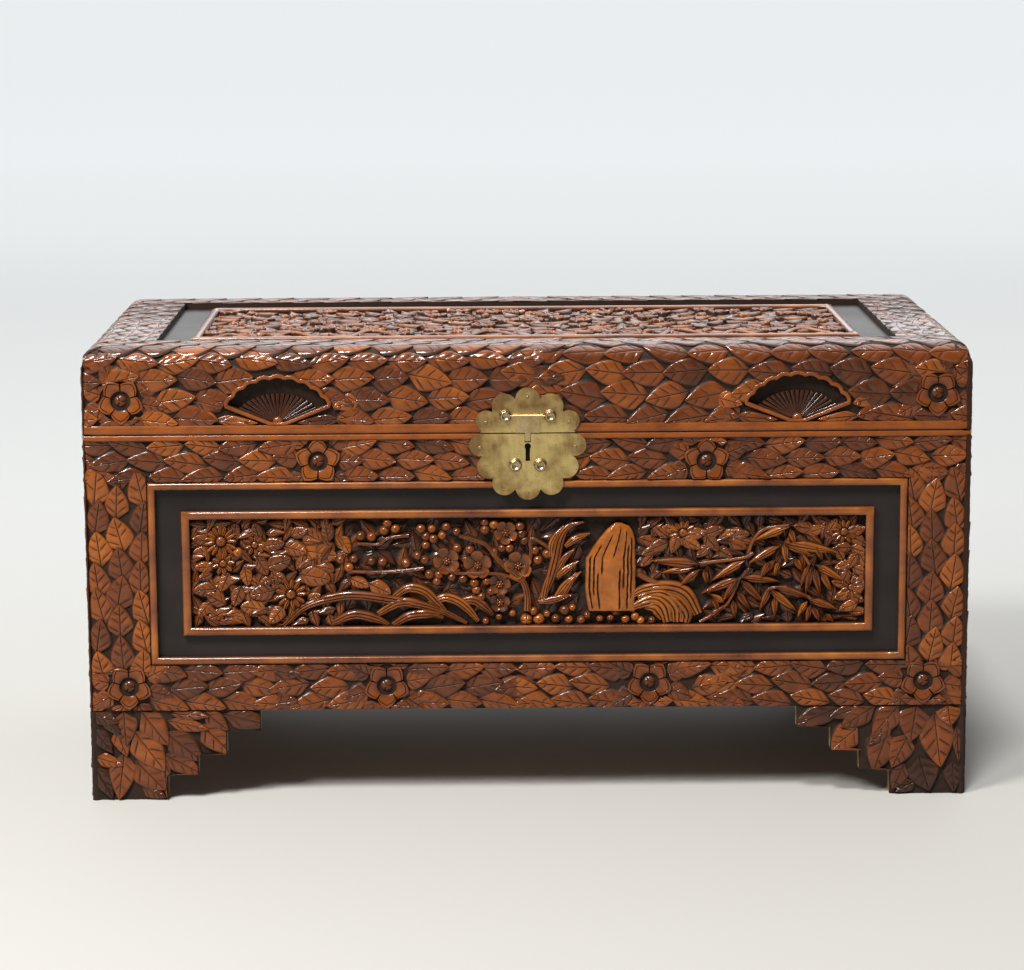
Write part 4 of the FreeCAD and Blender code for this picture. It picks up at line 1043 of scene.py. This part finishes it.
def rock(c, v0, rng):
    """The tall standing rock: a broad face with a rounded head, scored by deep upright cuts."""
    v = np.linspace(16, 117, 26)[:, None]
    left = np.interp(v, [16, 40, 76, 92, 104, 112, 117], [68, 64, 65, 75, 84, 92, 99])
    right = np.interp(v, [16, 60, 96, 108, 114, 117], [120, 122, 121, 118, 113, 104])
    cuts = [(0.09, 20, 80), (0.17, 34, 92), (0.25, 18, 60), (0.33, 60, 104), (0.55, 78, 110), (0.68, 18, 62),
            (0.76, 44, 108), (0.84, 18, 92), (0.91, 30, 100)]
    t = [0.0, 0.04, 0.97, 1.0] + [at + d for at, _, _ in cuts for d in (-0.022, -0.008, 0.008, 0.022)]
    t = np.unique(t)[None, :]
    bow = 1 - (2 * t - 1) ** 2
    h = -7.5 + 3.6 * np.sqrt(bow) + 0.5 * np.sin(t * 19 + v * 0.05) + rng.uniform(-0.15, 0.15, (26, t.size))
    h = h - 2.2 * np.clip((v - 106) / 11, 0, 1) ** 2
    # Darkness: the rock's outline where it meets the ground, and its upright cuts, stain and painted shade.
    d = np.tile(0.55 * (np.abs(2 * t - 1) > 0.96), (26, 1))
    for at, low_end, high_end in cuts:
        on = (np.abs(t - at) < 0.01) & (v > low_end) & (v < high_end)
        h = h - 1.7 * on
        d = np.maximum(d, 0.95 * on)
    u = left + (right - left) * t + rng.uniform(-0.4, 0.4, (26, t.size))
    v = v + 0 * t
    u, v, h, d = (np.concatenate([x[:1], x, x[-1:]]) for x in (u, v, h, d))
    u, v, h, d = (np.concatenate([x[:, :1], x, x[:, -1:]], 1) for x in (u, v, h, d))
    for values, at_edge in ((h, TABLET_GROUND - 0.8), (d, 1.0)):
        values[[0, -1]] = at_edge
        values[:, [0, -1]] = at_edge
    c.grid(u, v0 + v, h, d, 0.95)


def under_leaves(c, u0, u1, v0, v1, spacing, rng, top=-10.0, low=TABLET_GROUND, cuts=1, tone=0.0):
    """A crowd of small dark leaves, low behind the main carving."""
    for u in np.arange(u0 + 4, u1 - 3, spacing):
        for v in np.arange(v0 + 5, v1 - 3, spacing * 0.85):
            leaf(c, u + rng.uniform(-4, 4), v + rng.uniform(-3, 3), rng.uniform(0, 360), spacing * 1.5,
                 spacing * 0.95, rng, top=top + rng.uniform(-1.2, 1.2), low=low, cuts=cuts, tilt=1.5,
                 tint=tone + rng.uniform(-0.35, 0.2), cols=PETAL_COLS)


def build_front_tablet():
    rng = np.random.default_rng(21)
    low, high = TABLET_LOW, TABLET_HIGH
    v0, v1 = low[2], high[2]

    def raised(path, widths, tops, section="ribbed", **options):
        band(c, [(u, v0 + v) for u, v in path], widths, tops, TABLET_GROUND, rng, section, **options)

    c = Carving(wall_map("front"))
    c.box((low[0], low[1] + 16, v0), high)
    ground(c, low[0], high[0], v0, v1, TABLET_GROUND, -20.0, step=3.0, uneven=1.4, seed=5)
    c.on(wall_map("front"), clip_box(low[0] + 0.5, high[0] - 0.5, v0 + 0.5, v1 - 0.5))
    under_leaves(c, -380, -205, v0, v1, 15.0, rng, top=-7.6, tone=0.45)
    under_leaves(c, 124, 380, v0 + 50, v1, 15.0, rng, top=-9.0, tone=0.1)
    under_leaves(c, 205, 380, v0, v0 + 50, 17.0, rng)
    under_leaves(c, -205, -60, v0 + 24, v1, 19.0, rng, top=-11.0)
    under_leaves(c, -60, 64, v0 + 20, v1, 21.0, rng, top=-11.5)
    for u, v, heading, length in LEFT_LEAVES:
        leaf(c, u, v0 + v, heading, length * 1.08, length * 0.8, rng, top=rng.uniform(-8.0, -4.2),
             low=TABLET_GROUND, cuts=3, tilt=2.4, dome=1.5, tip=0.6,
             tint=rng.uniform(0.2, 0.85) * (0.5 if v > 96 else 1.0))
    chrysanthemum(c, -346, v0 + 98, 19, rng, 15, top=-6.0)
    chrysanthemum(c, -268, v0 + 37, 18, rng, 13, top=-4.2)
    chrysanthemum(c, -344, v0 + 73, 13, rng, 9, top=-5.2)
    chrysanthemum(c, -308, v0 + 94, 12, rng, 9, top=-6.0)
    dome(c, -327, v0 + 85, 6, -4.4, TABLET_GROUND, rng, slits=0)
    for path in ARCHES:
        raised(path, (7, 11, 11, 5), (-8.0, -4.2, -4.2, -9.0), count=26, tint=rng.uniform(0.3, 0.8))
    for path, widths in BRANCHES:
        raised(path, widths, (-5.5, -5.0), count=24, tint=0.4)
    for u, v, radius in BLOSSOMS:
        blossom(c, u, v0 + v, radius, rng)
    for u, v in BERRIES:
        dome(c, u + rng.uniform(-1, 1), v0 + v, rng.uniform(4.9, 5.9), rng.uniform(-5.5, -4.0), TABLET_GROUND,
             rng, tint=rng.uniform(-0.1, 0.7))
    for k, path in enumerate(BLADES):
        widths = (7, 12, 12, 2) if k == 0 else (5, 9, 7, 1)
        raised(path, widths, (-6, -4.2, -4.2, -6.5), tint=rng.uniform(0.4, 0.9))
    rock(c, v0, rng)
    for u, v, heading, length in RIGHT_LEAVES:
        leaf(c, u, v0 + v, heading, length * 1.15, length * 0.8, rng, top=rng.uniform(-8.5, -6.5),
             low=TABLET_GROUND, cuts=2, tilt=1.6, dome=1.4, tip=0.65, tint=rng.uniform(0.2, 0.75))
    chrysanthemum(c, 175, v0 + 104, 15, rng, 11, top=-7.5)
    chrysanthemum(c, 357, v0 + 104, 14, rng, 11, top=-7.5)
    chrysanthemum(c, 366, v0 + 40, 12, rng, 9, top=-7.5)
    for path in MOUND:
        raised(path, (7, 15, 17, 12), (-6.5, -4.2, -4.2, -6.0), tint=rng.uniform(0.7, 1.05))
    raised(MOUND_STEM, (7, 5), (-5.0, -5.0), "round", count=10, tint=0.3)
    for path in STEMS:
        raised(path, (4, 4), (-7.0, -6.0), "round", count=14, tint=0.4)
    for ua, va, ub, vb in BAMBOO:
        leaf_between(c, ua, v0 + va, ub, v0 + vb, 6.0 + 0.12 * math.hypot(ub - ua, vb - va), rng,
                     top=rng.uniform(-5.6, -4.0), low=TABLET_GROUND, cuts=0, tilt=-1.2, dome=2.2, rib="ridge",
                     tint=rng.uniform(0.25, 0.85), tip=0.9, heel=0.6)
    for u, v, radius in PEBBLES:
        dome(c, u, v0 + v, radius, rng.uniform(-6.0, -4.5), TABLET_GROUND, rng, slits=rng.integers(0, 2) * 4)
    c.finish("front_tablet_relief", "carcase", TABLET, ["front_carved_tablet"])


# ---------------------------------------------------------------- end and lid tablets
def garden(c, u0, u1, v0, v1, low, top, rng, size=1.0, leaf_size=(28.0, 19.0), cols=LEAF_COLS):
    """Leaves, berries and flowers all over a tablet, with bent blades along its foot."""
    width, height = u1 - u0, v1 - v0
    spots = []
    for _ in range(4000):
        u, v = rng.uniform(u0 + 8, u1 - 8), rng.uniform(v0 + 6, v1 - 6)
        if all(math.hypot(u - a, v - b) > 16.0 * size for a, b in spots):
            spots.append((u, v))
    centre = np.array([(u0 + u1) / 2, v0 + height * 0.3])
    for u, v in spots:
        away = math.degrees(math.atan2(v - centre[1], u - centre[0]))
        kind = rng.random()
        if kind < 0.62:
            leaf(c, u, v, away + rng.uniform(-50, 50), *leaf_size, rng, top=top - rng.uniform(0.5, 2.5),
                 low=low, cuts=2, tilt=1.6, dome=1.4, cols=cols)
        elif kind < 0.8:
            for _ in range(3):
                dome(c, u + rng.uniform(-6, 6), v + rng.uniform(-6, 6), 4.4, top - rng.uniform(0.3, 1.5),
                     low, rng)
        elif kind < 0.92:
            blossom(c, u, v, 14, rng, top=top - 1.0, low=low)
        else:
            chrysanthemum(c, u, v, 16, rng, 11, top=top - 1.0, low=low)
    for k in range(int(width / 70)):
        u = u0 + (k + 0.5) * width / int(width / 70) + rng.uniform(-14, 14)
        reach, rise = rng.uniform(24, 40), height * rng.uniform(0.1, 0.25)
        band(c, [(u - reach, v0 + 2), (u - 5, v0 + rise), (u + reach, v0 + rng.uniform(3, 9))], (6, 9, 6),
             (top - 2, top, top - 2), low, rng, "ribbed", count=18)


def build_end_tablets():
    for name, seed in (("left", 31), ("right", 32)):
        rng = np.random.default_rng(seed)
        low, high = node_box(f"{name}_carved_tablet")
        c = Carving(wall_map(name))
        inner = HALF_L - 16
        box_x = (-inner, -HALF_L + WALL) if name == "left" else (HALF_L - WALL, inner)
        c.box((box_x[0], low[1], low[2]), (box_x[1], high[1], high[2]))
        u0, u1, v0, v1 = low[1], high[1], low[2], high[2]
        ground(c, u0, u1, v0, v1, TABLET_GROUND, -20.0, step=3.0, uneven=1.2, seed=seed)
        c.on(wall_map(name), clip_box(u0 + 0.5, u1 - 0.5, v0 + 0.5, v1 - 0.5))
        garden(c, u0, u1, v0, v1, TABLET_GROUND, -4.0, rng)
        c.finish(f"{name}_tablet_relief", "carcase", TABLET,
                 [f"{name}_carved_tablet"])


def build_lid_tablet():
    rng = np.random.default_rng(41)
    low, high = LID_TABLET_LOW, LID_TABLET_HIGH
    u0, u1, v0, v1 = low[0], high[0], low[1], high[1]
    base, top = -11.5, -2.8
    c = Carving(TOP_MAP)
    c.box((u0, v0, low[2]), (u1, v1, HEIGHT - 14))
    ground(c, u0, u1, v0, v1, base, -17.0, step=6.0, uneven=1.4, seed=42)
    c.on(TOP_MAP, clip_box(u0 + 0.5, u1 - 0.5, v0 + 0.5, v1 - 0.5))
    under_leaves(c, u0, u1, v0, v1, 23.0, rng, top=-6.8, low=base, cuts=0, tone=0.3)
    garden(c, u0, u1, v0, v1, base, top, rng, size=1.5, leaf_size=(31.0, 21.0), cols=PETAL_COLS)
    c.finish("lid_tablet_relief", "lid", TABLET, ["lid_carved_tablet"])


# ---------------------------------------------------------------- lid
FANS = (-279.0, 302.0)
FAN_FOOT, FAN_W, FAN_H, FAN_START, FAN_LOBES, FAN_BULGE = 434.0, 61.0, 50.0, 22.0, 9, 2.2
FAN_DEPTH, FAN_RIBS = -11.9, 17
LID_FLOWERS = [(-454.0, 460.0), (459.0, 463.0)]
LID_LEAF = (47.0, 34.0)
# Where each half of the lid's leaves runs, its heading, the gap between its rows and the leaves' size.
LID_HALVES = [(-HALF_L, 0.0, 0, 22.5, (48.0, 35.0)), (0.0, HALF_L, 180, 25.5, (51.0, 39.0))]
TOP_RELIEF = 0.28


def lid_relief(v):
    """The carving is at its full depth on the sides of the lid and shallow across its top."""
    return np.interp(v, [HEIGHT - LID_EDGE_R + 8, HEIGHT - LID_EDGE_R + ARC], [1.0, TOP_RELIEF])


def fan_edge(cx, share, grow):
    """A point on a fan's scalloped rim, share running from its right tip (0) to its left tip (1)."""
    angle = math.radians(FAN_START + (180 - 2 * FAN_START) * share)
    wave = FAN_BULGE * abs(math.sin(math.pi * share * FAN_LOBES)) + grow
    return cx + (FAN_W + wave) * math.cos(angle), FAN_FOOT + (FAN_H + wave) * math.sin(angle)


def in_fan(u, v):
    """True where a point lies in a fan's recess."""
    inside = np.zeros(u.shape, bool)
    for cx in FANS:
        du, dv = (u - cx) / FAN_W, (v - FAN_FOOT) / FAN_H
        slope = math.tan(math.radians(FAN_START)) * FAN_H / FAN_W
        above = v - FAN_FOOT > np.maximum(np.abs(u - cx) - 7, 0) * slope
        inside |= (np.hypot(du, dv) < 1.0) & above
    return inside


def lid_depth(u, v):
    bend = HEIGHT - LID_EDGE_R
    fade = np.clip((v - bend) / 8.0, 0, 1)
    h = corner_depth(u, v) * (1 - fade) + GROUND * lid_relief(v) * fade
    return np.where(in_fan(u, v), FAN_DEPTH, h)


def build_fan(c, cx, rng):
    """The ribs, scalloped rim and button of a fan."""
    for k in range(FAN_RIBS):
        angle = math.radians(24 + 132 * k / (FAN_RIBS - 1))
        reach = 0.86 - 0.2 * math.sin(angle)
        start = (cx + 8 * math.cos(angle), FAN_FOOT + 6 * math.sin(angle))
        end = (cx + FAN_W * reach * math.cos(angle), FAN_FOOT + FAN_H * reach * math.sin(angle))
        # The ribs are given a dark tone: painted shade deep in the fan's recess.
        band(c, [start, end], (1.8, 4.6), (-4.5, -6.8), FAN_DEPTH, rng, "round", count=12,
             tint=rng.uniform(-0.5, -0.1))
    rim = [fan_edge(cx, s, 1.2) for s in np.linspace(0, 1, FAN_LOBES * 8 + 1)]
    rim += [(cx - 9, FAN_FOOT - 0.5), (cx, FAN_FOOT - 1.5), (cx + 9, FAN_FOOT - 0.5), rim[0]]
    band(c, rim, (5.0,), (-0.2,), -12.5, rng, "round", tint=0.7, curve=False, closed=True)
    dome(c, cx, FAN_FOOT + 1.5, 6.0, -1.0, FAN_DEPTH, rng, tint=0.6, flat=0.3)


def build_lid_front():
    rng = np.random.default_rng(51)
    place = lid_map("front")
    c = Carving(place)
    c.box((-HALF_L + LID_CORE, -HALF_D + LID_CORE, LID_LOW[2]),
          (HALF_L - LID_CORE, -HALF_D + WALL, LID_HIGH[2]))
    top_v = HEIGHT - LID_EDGE_R + ARC + LID_BAND_FRONT - LID_EDGE_R
    c.box((-HALF_L + 6, -HALF_D + 14, TOP_LOW[2]), (HALF_L - 6, TOP_HIGH[1], HEIGHT - 9))
    foot = LID_LOW[2]
    ground(c, -HALF_L, HALF_L, foot, top_v, lid_depth, LID_SHEET_EDGE, step=2.6, dark=corner_dark, seed=6,
           lines=STRIP_AT)
    strip(c, -HALF_L, HALF_L, foot, foot + BEAD, LID_SHEET_EDGE, rng)
    fans = [(cx, FAN_FOOT, FAN_W + 4.5, FAN_H + 4.5) for cx in FANS]
    limit = clip_box(FRONT_LEFT, FRONT_RIGHT, foot + BEAD, top_v - 0.5)
    c.on(place, outside_of(limit, flower_spots(LID_FLOWERS) + fans))
    clear = clear_of([(u, v, FLOWER_R) for u, v in LID_FLOWERS] + [(0.0, 437.0, 28.0)])

    def keep(u, v):
        by_fan = any(abs(u - cx) < 78 and v < 452 for cx in FANS)
        on_fan = any(math.hypot((u - cx) / (FAN_W + 2), (v - FAN_FOOT) / (FAN_H + 3)) < 1 for cx in FANS)
        return clear(u, v) and not by_fan and not on_fan

    wreath(c, LID_FLOWERS, rng)
    for u0, u1, heading, gap, size in LID_HALVES:
        rows = int((top_v - 430) / gap) + 1
        leaf_rows(c, u0, u1, 437.5, gap, rows, heading, *size, rng, keep=keep, relief=lid_relief)
    c.on(place, limit)
    for cx in FANS:
        for side in (-1, 1):
            leaf_between(c, cx + side * 72, 438, cx + side * 22, 434.5, 15, rng, cuts=2)
            leaf_between(c, cx + side * 96, 444, cx + side * 66, 438, 24, rng, cuts=2)
            leaf_between(c, cx + side * 92, 460, cx + side * 62, 452, 24, rng, cuts=2)
        build_fan(c, cx, rng)
    for u, v in LID_FLOWERS:
        flower(c, u, v, FLOWER_R, rng, turn=-90)
    c.finish("lid_front_carved", "lid", CARVED,
             ["lid_front_skirt", "lid_top_front_rail"])


def lid_end_clip(v_low, v_high):
    """The leaves of an end stop short of the corners, and on the top they stop at the long rails."""
    bend = HEIGHT - LID_EDGE_R

    def clip(u, v):
        limit = np.where(v < bend - 4, HALF_D - 5, np.where(v < bend + ARC * 0.9, HALF_D - LID_EDGE_R,
                                                            HALF_D - LID_BAND_FRONT))
        return np.clip(u, -limit, limit), np.clip(v, v_low, v_high)

    return clip


def build_lid_ends():
    for name, seed in (("left", 61), ("right", 62)):
        rng = np.random.default_rng(seed)
        place = lid_map(name)
        c = Carving(place)
        low, high = node_box(f"lid_{name}_skirt")
        side = -1 if name == "left" else 1
        inner, face = side * (HALF_L - WALL), side * (HALF_L - LID_CORE)
        c.box((min(inner, face), low[1], low[2]), (max(inner, face), high[1], high[2]))
        low_t, high_t = node_box(f"lid_top_{name}_stile")
        edge = side * (HALF_L - LID_BAND_END)
        face = side * (HALF_L - 14)
        c.box((min(edge, face), low_t[1], low_t[2]), (max(edge, face), high_t[1], HEIGHT - 9))
        top_v = HEIGHT - LID_EDGE_R + ARC + LID_BAND_END - LID_EDGE_R
        bend = HEIGHT - LID_EDGE_R
        ground(c, -HALF_D, HALF_D, low[2], bend, end_corner_depth, LID_SHEET_EDGE, dark=end_corner_dark,
               lines=END_AT, seed=seed)
        ground(c, -HALF_D, HALF_D, bend - 2, bend + ARC, lambda u, v: GROUND * lid_relief(v), SHEET_EDGE,
               seed=seed)
        ground(c, low_t[1], high_t[1], bend + ARC - 2, top_v, GROUND * TOP_RELIEF, SHEET_EDGE, seed=seed)
        strip(c, -HALF_D, HALF_D, low[2], low[2] + BEAD, LID_SHEET_EDGE, rng)
        c.on(place, lid_end_clip(low[2] + BEAD, top_v - 0.5))

        def keep(u, v):
            return abs(u) < (HALF_D - LID_BAND_FRONT + 12 if v > bend + ARC * 0.8 else HALF_D)

        for u0, u1, heading in ((-HALF_D, 0, 0), (0, HALF_D, 180)):
            leaf_rows(c, u0, u1, 437.0, 23.5, 8, heading, *LID_LEAF, rng, keep, lid_relief, cuts=2)
        c.finish(f"lid_{name}_carved", "lid", CARVED,
                 [f"lid_{name}_skirt", f"lid_top_{name}_stile"])


def build_lid_back():
    rng = np.random.default_rng(71)
    place = lid_map("back")
    c = Carving(place)
    low, _ = node_box("lid_top_back_rail")
    c.box((-HALF_L + 6, low[1], low[2]), (HALF_L - 6, HALF_D - 14, HEIGHT - 9))
    bend = HEIGHT - LID_EDGE_R
    top_v = bend + ARC + LID_BAND_FRONT - LID_EDGE_R

    def depth(u, v):
        return np.where(v < bend + 6, -0.3, GROUND * lid_relief(v))

    def dark(u, v):
        return np.where(v < bend + 6, 0.3, 0.96)

    ground(c, -HALF_L, HALF_L, low[2], top_v, depth, LID_SHEET_EDGE, seed=8, dark=dark)
    c.on(place, clip_box(-HALF_L + 5, HALF_L - 5, bend + 5, top_v - 0.5))
    for u0, u1, heading in ((-HALF_L, 0, 0), (0, HALF_L, 180)):
        leaf_rows(c, u0, u1, 512.0, 23.5, 4, heading, *LID_LEAF, rng, relief=lid_relief, cuts=2)
    c.finish("lid_back_rail_carved", "lid", (CARVED_FRONT, STAINED),
             ["lid_top_back_rail"])


# ---------------------------------------------------------------- carcase ends and feet
def build_ends():
    for name, seed in (("left", 81), ("right", 82)):
        rng = np.random.default_rng(seed)
        place = wall_map(name)
        c = Carving(place)
        nodes = [f"{name}_{part}" for part in ("top_rail", "bottom_rail", "front_stile", "back_stile")]
        side = -1 if name == "left" else 1
        for node in nodes:
            low, high = node_box(node)
            inner, face = side * (HALF_L - WALL), side * (HALF_L - CORE_FACE)
            c.box((min(inner, face), low[1], low[2]), (max(inner, face), high[1], high[2]))
        (_, _, t0), (_, _, t1) = node_box(nodes[0])
        (_, _, b0), (_, _, b1) = node_box(nodes[1])
        stile = HALF_D + node_box(nodes[2])[1][1]
        half = HALF_D
        ground(c, -half, half, t0, t1 - 5, end_corner_depth, SHEET_EDGE, dark=end_corner_dark, lines=END_AT,
               seed=seed)
        ground(c, -half, half, b0, b1, end_corner_depth, SHEET_EDGE, dark=end_corner_dark, lines=END_AT,
               seed=seed + 1)
        strip(c, -half, half, t1 - 6.5, t1, SHEET_EDGE, rng)
        for s in (-1, 1):
            u0, u1 = sorted((s * half, s * (half - stile)))
            ground(c, u0, u1, b1, t0, end_corner_depth, SHEET_EDGE, dark=end_corner_dark, lines=END_AT,
                   seed=seed + 2 + s)
            c.on(place, clip_box(*sorted((s * (half - 5), s * (half - stile + 1))), b1 + 0.5, t0 - 0.5))
            stile_leaves(c, s * (half - 5), -s, b1, rng, cuts=2)
            c.on(place)
        flowers = [(0.0, (t0 + t1) / 2 - 3)], [(-half + 46, (b0 + b1) / 2), (half - 46, (b0 + b1) / 2)]
        bands = ((t0 + 1, t1 - 6.5, flowers[0], [(-half, -4, 180), (4, half, 0)]),
                 (b0 + 1, b1 - 1, flowers[1], [(-half + 50, 0, 0), (0, half - 50, 180),
                                               (-half, -half + 42, 180), (half - 42, half, 0)]))
        for v0, v1, spots, segments in bands:
            c.on(place, outside_of(clip_box(-half + 5, half - 5, v0, v1), flower_spots(spots)))
            wreath(c, spots, rng)
            rail_leaves(c, segments, (v0 + v1) / 2, 18.5, spots, rng, TOP_RAIL_LEAF)
            c.on(place, clip_box(-half, half, v0, v1))
            for u, v in spots:
                flower(c, u, v, FLOWER_R, rng)
        c.finish(f"{name}_end_carved", "carcase", CARVED, nodes)


FOOT_STEPS = [(88.0, 0.0, 29.5), (123.0, 29.5, 53.5), (156.0, 53.5, 80.0), (195.0, 80.0, 104.0)]
# A foot's leaves: heel and tip, each as distance in from the corner and height, then width and tone.
LEFT_FOOT = [(5, 101, 32, 92, 19, 0.1), (40, 103, 42, 67, 28, 0.4), (62, 101, 88, 67, 30, 0.7),
             (31, 82, 42, 54, 20, 0.8), (53, 78, 83, 38, 36, 0.9), (39, 53, 33, 5, 30, 0.7),
             (54, 44, 83, 14, 35, 0.6), (84, 50, 88, 3, 12, 0.5), (89, 77, 126, 48, 31, 0.3),
             (87, 52, 125, 32, 24, 0.6), (130, 86, 160, 56, 30, 0.7), (92, 92, 133, 83, 17, 0.9),
             (95, 101, 134, 98, 14, 0.6), (156, 99, 201, 88, 26, 0.2), (133, 101, 157, 83, 20, 0.4),
             (8, 50, 36, 42, 16, 0.9), (6, 38, 24, 5, 20, -0.3), (7, 82, 25, 58, 18, -0.4),
             (60, 14, 84, 4, 16, 0.3), (18, 96, 36, 78, 16, 0.0)]
RIGHT_FOOT = [(23, 103, 20, 82, 28, 0.8), (38, 90, 31, 36, 39, 0.8), (59, 102, 65, 65, 35, 0.5),
              (68, 68, 85, 34, 28, 0.6), (92, 72, 106, 30, 34, 0.4), (81, 101, 107, 72, 28, 0.6),
              (108, 102, 142, 81, 25, 0.4), (149, 101, 196, 83, 24, 0.1), (127, 77, 155, 54, 30, 0.8),
              (54, 41, 44, 7, 36, 0.0), (72, 34, 84, 8, 20, 0.3), (16, 36, 15, 5, 20, -0.4),
              (12, 78, 10, 40, 12, 0.3), (128, 100, 156, 92, 16, 0.2), (88, 82, 112, 60, 18, 0.3),
              (60, 14, 80, 4, 14, 0.1)]


def foot_depth(half):
    """The ground of a foot's carving, which rises to a plain strip along the upright corner."""
    return lambda u, v: np.interp(np.abs(u), [half - 10, half - 7, half], [GROUND, -0.4, -0.4])


def build_feet():
    """Stepped bracket feet, carved on the front and the ends and plain at the back."""
    walls = {"front_left": ("front", -1, "left", 1), "front_right": ("front", 1, "right", -1),
             "back_left": ("back", 1, "left", -1), "back_right": ("back", -1, "right", 1)}
    for place_name, (face, face_sign, end, end_sign) in walls.items():
        rng = np.random.default_rng(sum(map(ord, place_name)))
        c = Carving()
        for wall, sign, half in ((face, face_sign, HALF_L), (end, end_sign, HALF_D)):
            place = wall_map(wall)
            plain = wall == "back"
            depth = -0.4 if plain else foot_depth(half)
            start = CORE_END if wall in ("front", "back") else WALL
            for reach, v0, v1 in FOOT_STEPS:
                c.on(place)
                u0, u1 = sorted((sign * half, sign * (half - reach)))
                ground(c, u0, u1, v0, v1, depth, SHEET_EDGE, dark=0.3 if plain else 0.85, seed=int(reach))
                corner_a = place(np.array(sign * (half - start)), np.array(v0), np.array(-CORE_FACE))
                corner_b = place(np.array(sign * (half - reach)), np.array(v1), np.array(-WALL))
                c.box(np.minimum(corner_a, corner_b), np.maximum(corner_a, corner_b))
            if plain:
                continue

            def clip(u, v, sign=sign, half=half):
                v = np.clip(v, 0.6, 103.6)
                reach = np.select([v < s[2] for s in FOOT_STEPS], [s[0] for s in FOOT_STEPS], 195.0) - 0.5
                inward = np.clip(half - sign * u, 3.0 if sign < 0 else 8.0, reach)
                return sign * (half - inward), v

            c.on(place, clip)
            for du, dv, eu, ev, width, tone in (LEFT_FOOT if sign < 0 else RIGHT_FOOT):
                heel = 1.08 * du - 0.08 * eu, 1.08 * dv - 0.08 * ev
                tip = 1.08 * eu - 0.08 * du, 1.08 * ev - 0.08 * dv
                # The feet's tones are lowered: painted shade, as the light falls off low on the chest.
                leaf_between(c, sign * (half - heel[0]), heel[1], sign * (half - tip[0]), tip[1], width * 1.2,
                             rng, tint=tone - 0.22, top=rng.uniform(-0.8, 0), tilt=3.2)
        c.finish(f"foot_{place_name}_carved", "carcase", CARVED,
                 [f"foot_{place_name}"])


build_top_rail()
build_bottom_rail()
build_stile("left", -1)
build_stile("right", 1)
build_mouldings()
build_lock_fittings()
build_front_tablet()
build_end_tablets()
build_lid_tablet()
build_lid_front()
build_lid_ends()
build_lid_back()
build_ends()
build_feet()


# ---------------------------------------------------------------- finishes of the carried-over CAD pieces
def finish_node(name, material):
    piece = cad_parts[name]
    piece.data.materials.clear()
    piece.data.materials.append(material)


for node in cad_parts:
    if "field_boards" in node:
        finish_node(node, BLACK)
    elif node in ("floor_planks", "foot_glue_blocks"):
        finish_node(node, RAW)
    elif node in ("back_planks", "lid_back_skirt"):
        finish_node(node, STAINED)
    elif node.startswith(("lock_case", "lock_bolt")):
        finish_node(node, IRON)
    elif node.startswith(("lock_stud", "hasp", "hinge_pins")):
        finish_node(node, BRIGHT_BRASS)
    elif node in ("lock_plate_upper", "lock_plate_lower"):
        finish_node(node, PLATE_BRASS)
    elif node.startswith(("lock_plate", "hinge", "stay")):
        finish_node(node, BRASS)

# ---------------------------------------------------------------- floor, light and camera
bpy.ops.mesh.primitive_plane_add(size=400, location=(0, 0, 0))
floor = bpy.context.object
floor.name = "studio_floor"
floor.data.materials.append(floor_paint())

world = bpy.data.worlds.new("studio")
world.use_nodes = True
world.node_tree.nodes["Background"].inputs["Color"].default_value = (1.0, 0.99, 0.975, 1)
world.node_tree.nodes["Background"].inputs["Strength"].default_value = 0.2
bpy.context.scene.world = world


def area_light(name, location, target, size, power, color=(1, 1, 1)):
    light = bpy.data.lights.new(name, "AREA")
    light.shape, light.size, light.size_y = "RECTANGLE", size[0], size[1]
    light.energy, light.color = power, color
    lamp = bpy.data.objects.new(name, light)
    lamp.location = location
    lamp.rotation_euler = (Vector(target) - Vector(location)).to_track_quat("-Z", "Y").to_euler()
    bpy.context.scene.collection.objects.link(lamp)
    return lamp


def sun_light(name, direction, strength, spread, color=(1, 1, 1)):
    light = bpy.data.lights.new(name, "SUN")
    light.energy, light.angle, light.color = strength, math.radians(spread), color
    lamp = bpy.data.objects.new(name, light)
    lamp.rotation_euler = Vector(direction).to_track_quat("-Z", "Y").to_euler()
    bpy.context.scene.collection.objects.link(lamp)


sun_light("key", (0.16, 0.46, -0.9), 2.95, 11, (1.0, 0.985, 0.96))
area_light("sparkle", (-1.7, -2.0, 2.6), (0, 0, 0.3), (0.9, 0.7), 130, (1.0, 0.98, 0.94))
# A white wall and ceiling, which only the polished surfaces mirror.
wall_light = area_light("wall", (0, 3.6, 2.6), (0, 0, 0.6), (7.0, 3.3), 115, (0.96, 0.98, 1.0))
wall_light.visible_diffuse = False
ceiling_light = area_light("ceiling", (0, 0.9, 3.2), (0, 0.2, 0), (6.0, 2.6), 150, (1.0, 0.99, 0.97))
ceiling_light.visible_diffuse = False

camera_data = bpy.data.cameras.new("camera")
camera = bpy.data.objects.new("camera", camera_data)
bpy.context.scene.collection.objects.link(camera)
camera.location = (-0.052, -3.667, 0.970)
PAN, TILT, ROLL = math.radians(-0.573), math.radians(-10.08), math.radians(-0.311)
camera.rotation_euler = (Euler((math.radians(90) + TILT, 0, PAN), "XYZ").to_matrix()
                         @ Euler((0, 0, ROLL), "XYZ").to_matrix()).to_euler()
camera_data.sensor_width = 36
camera_data.lens = 108.85
bpy.context.scene.camera = camera
bpy.context.scene.view_settings.view_transform = "Standard"
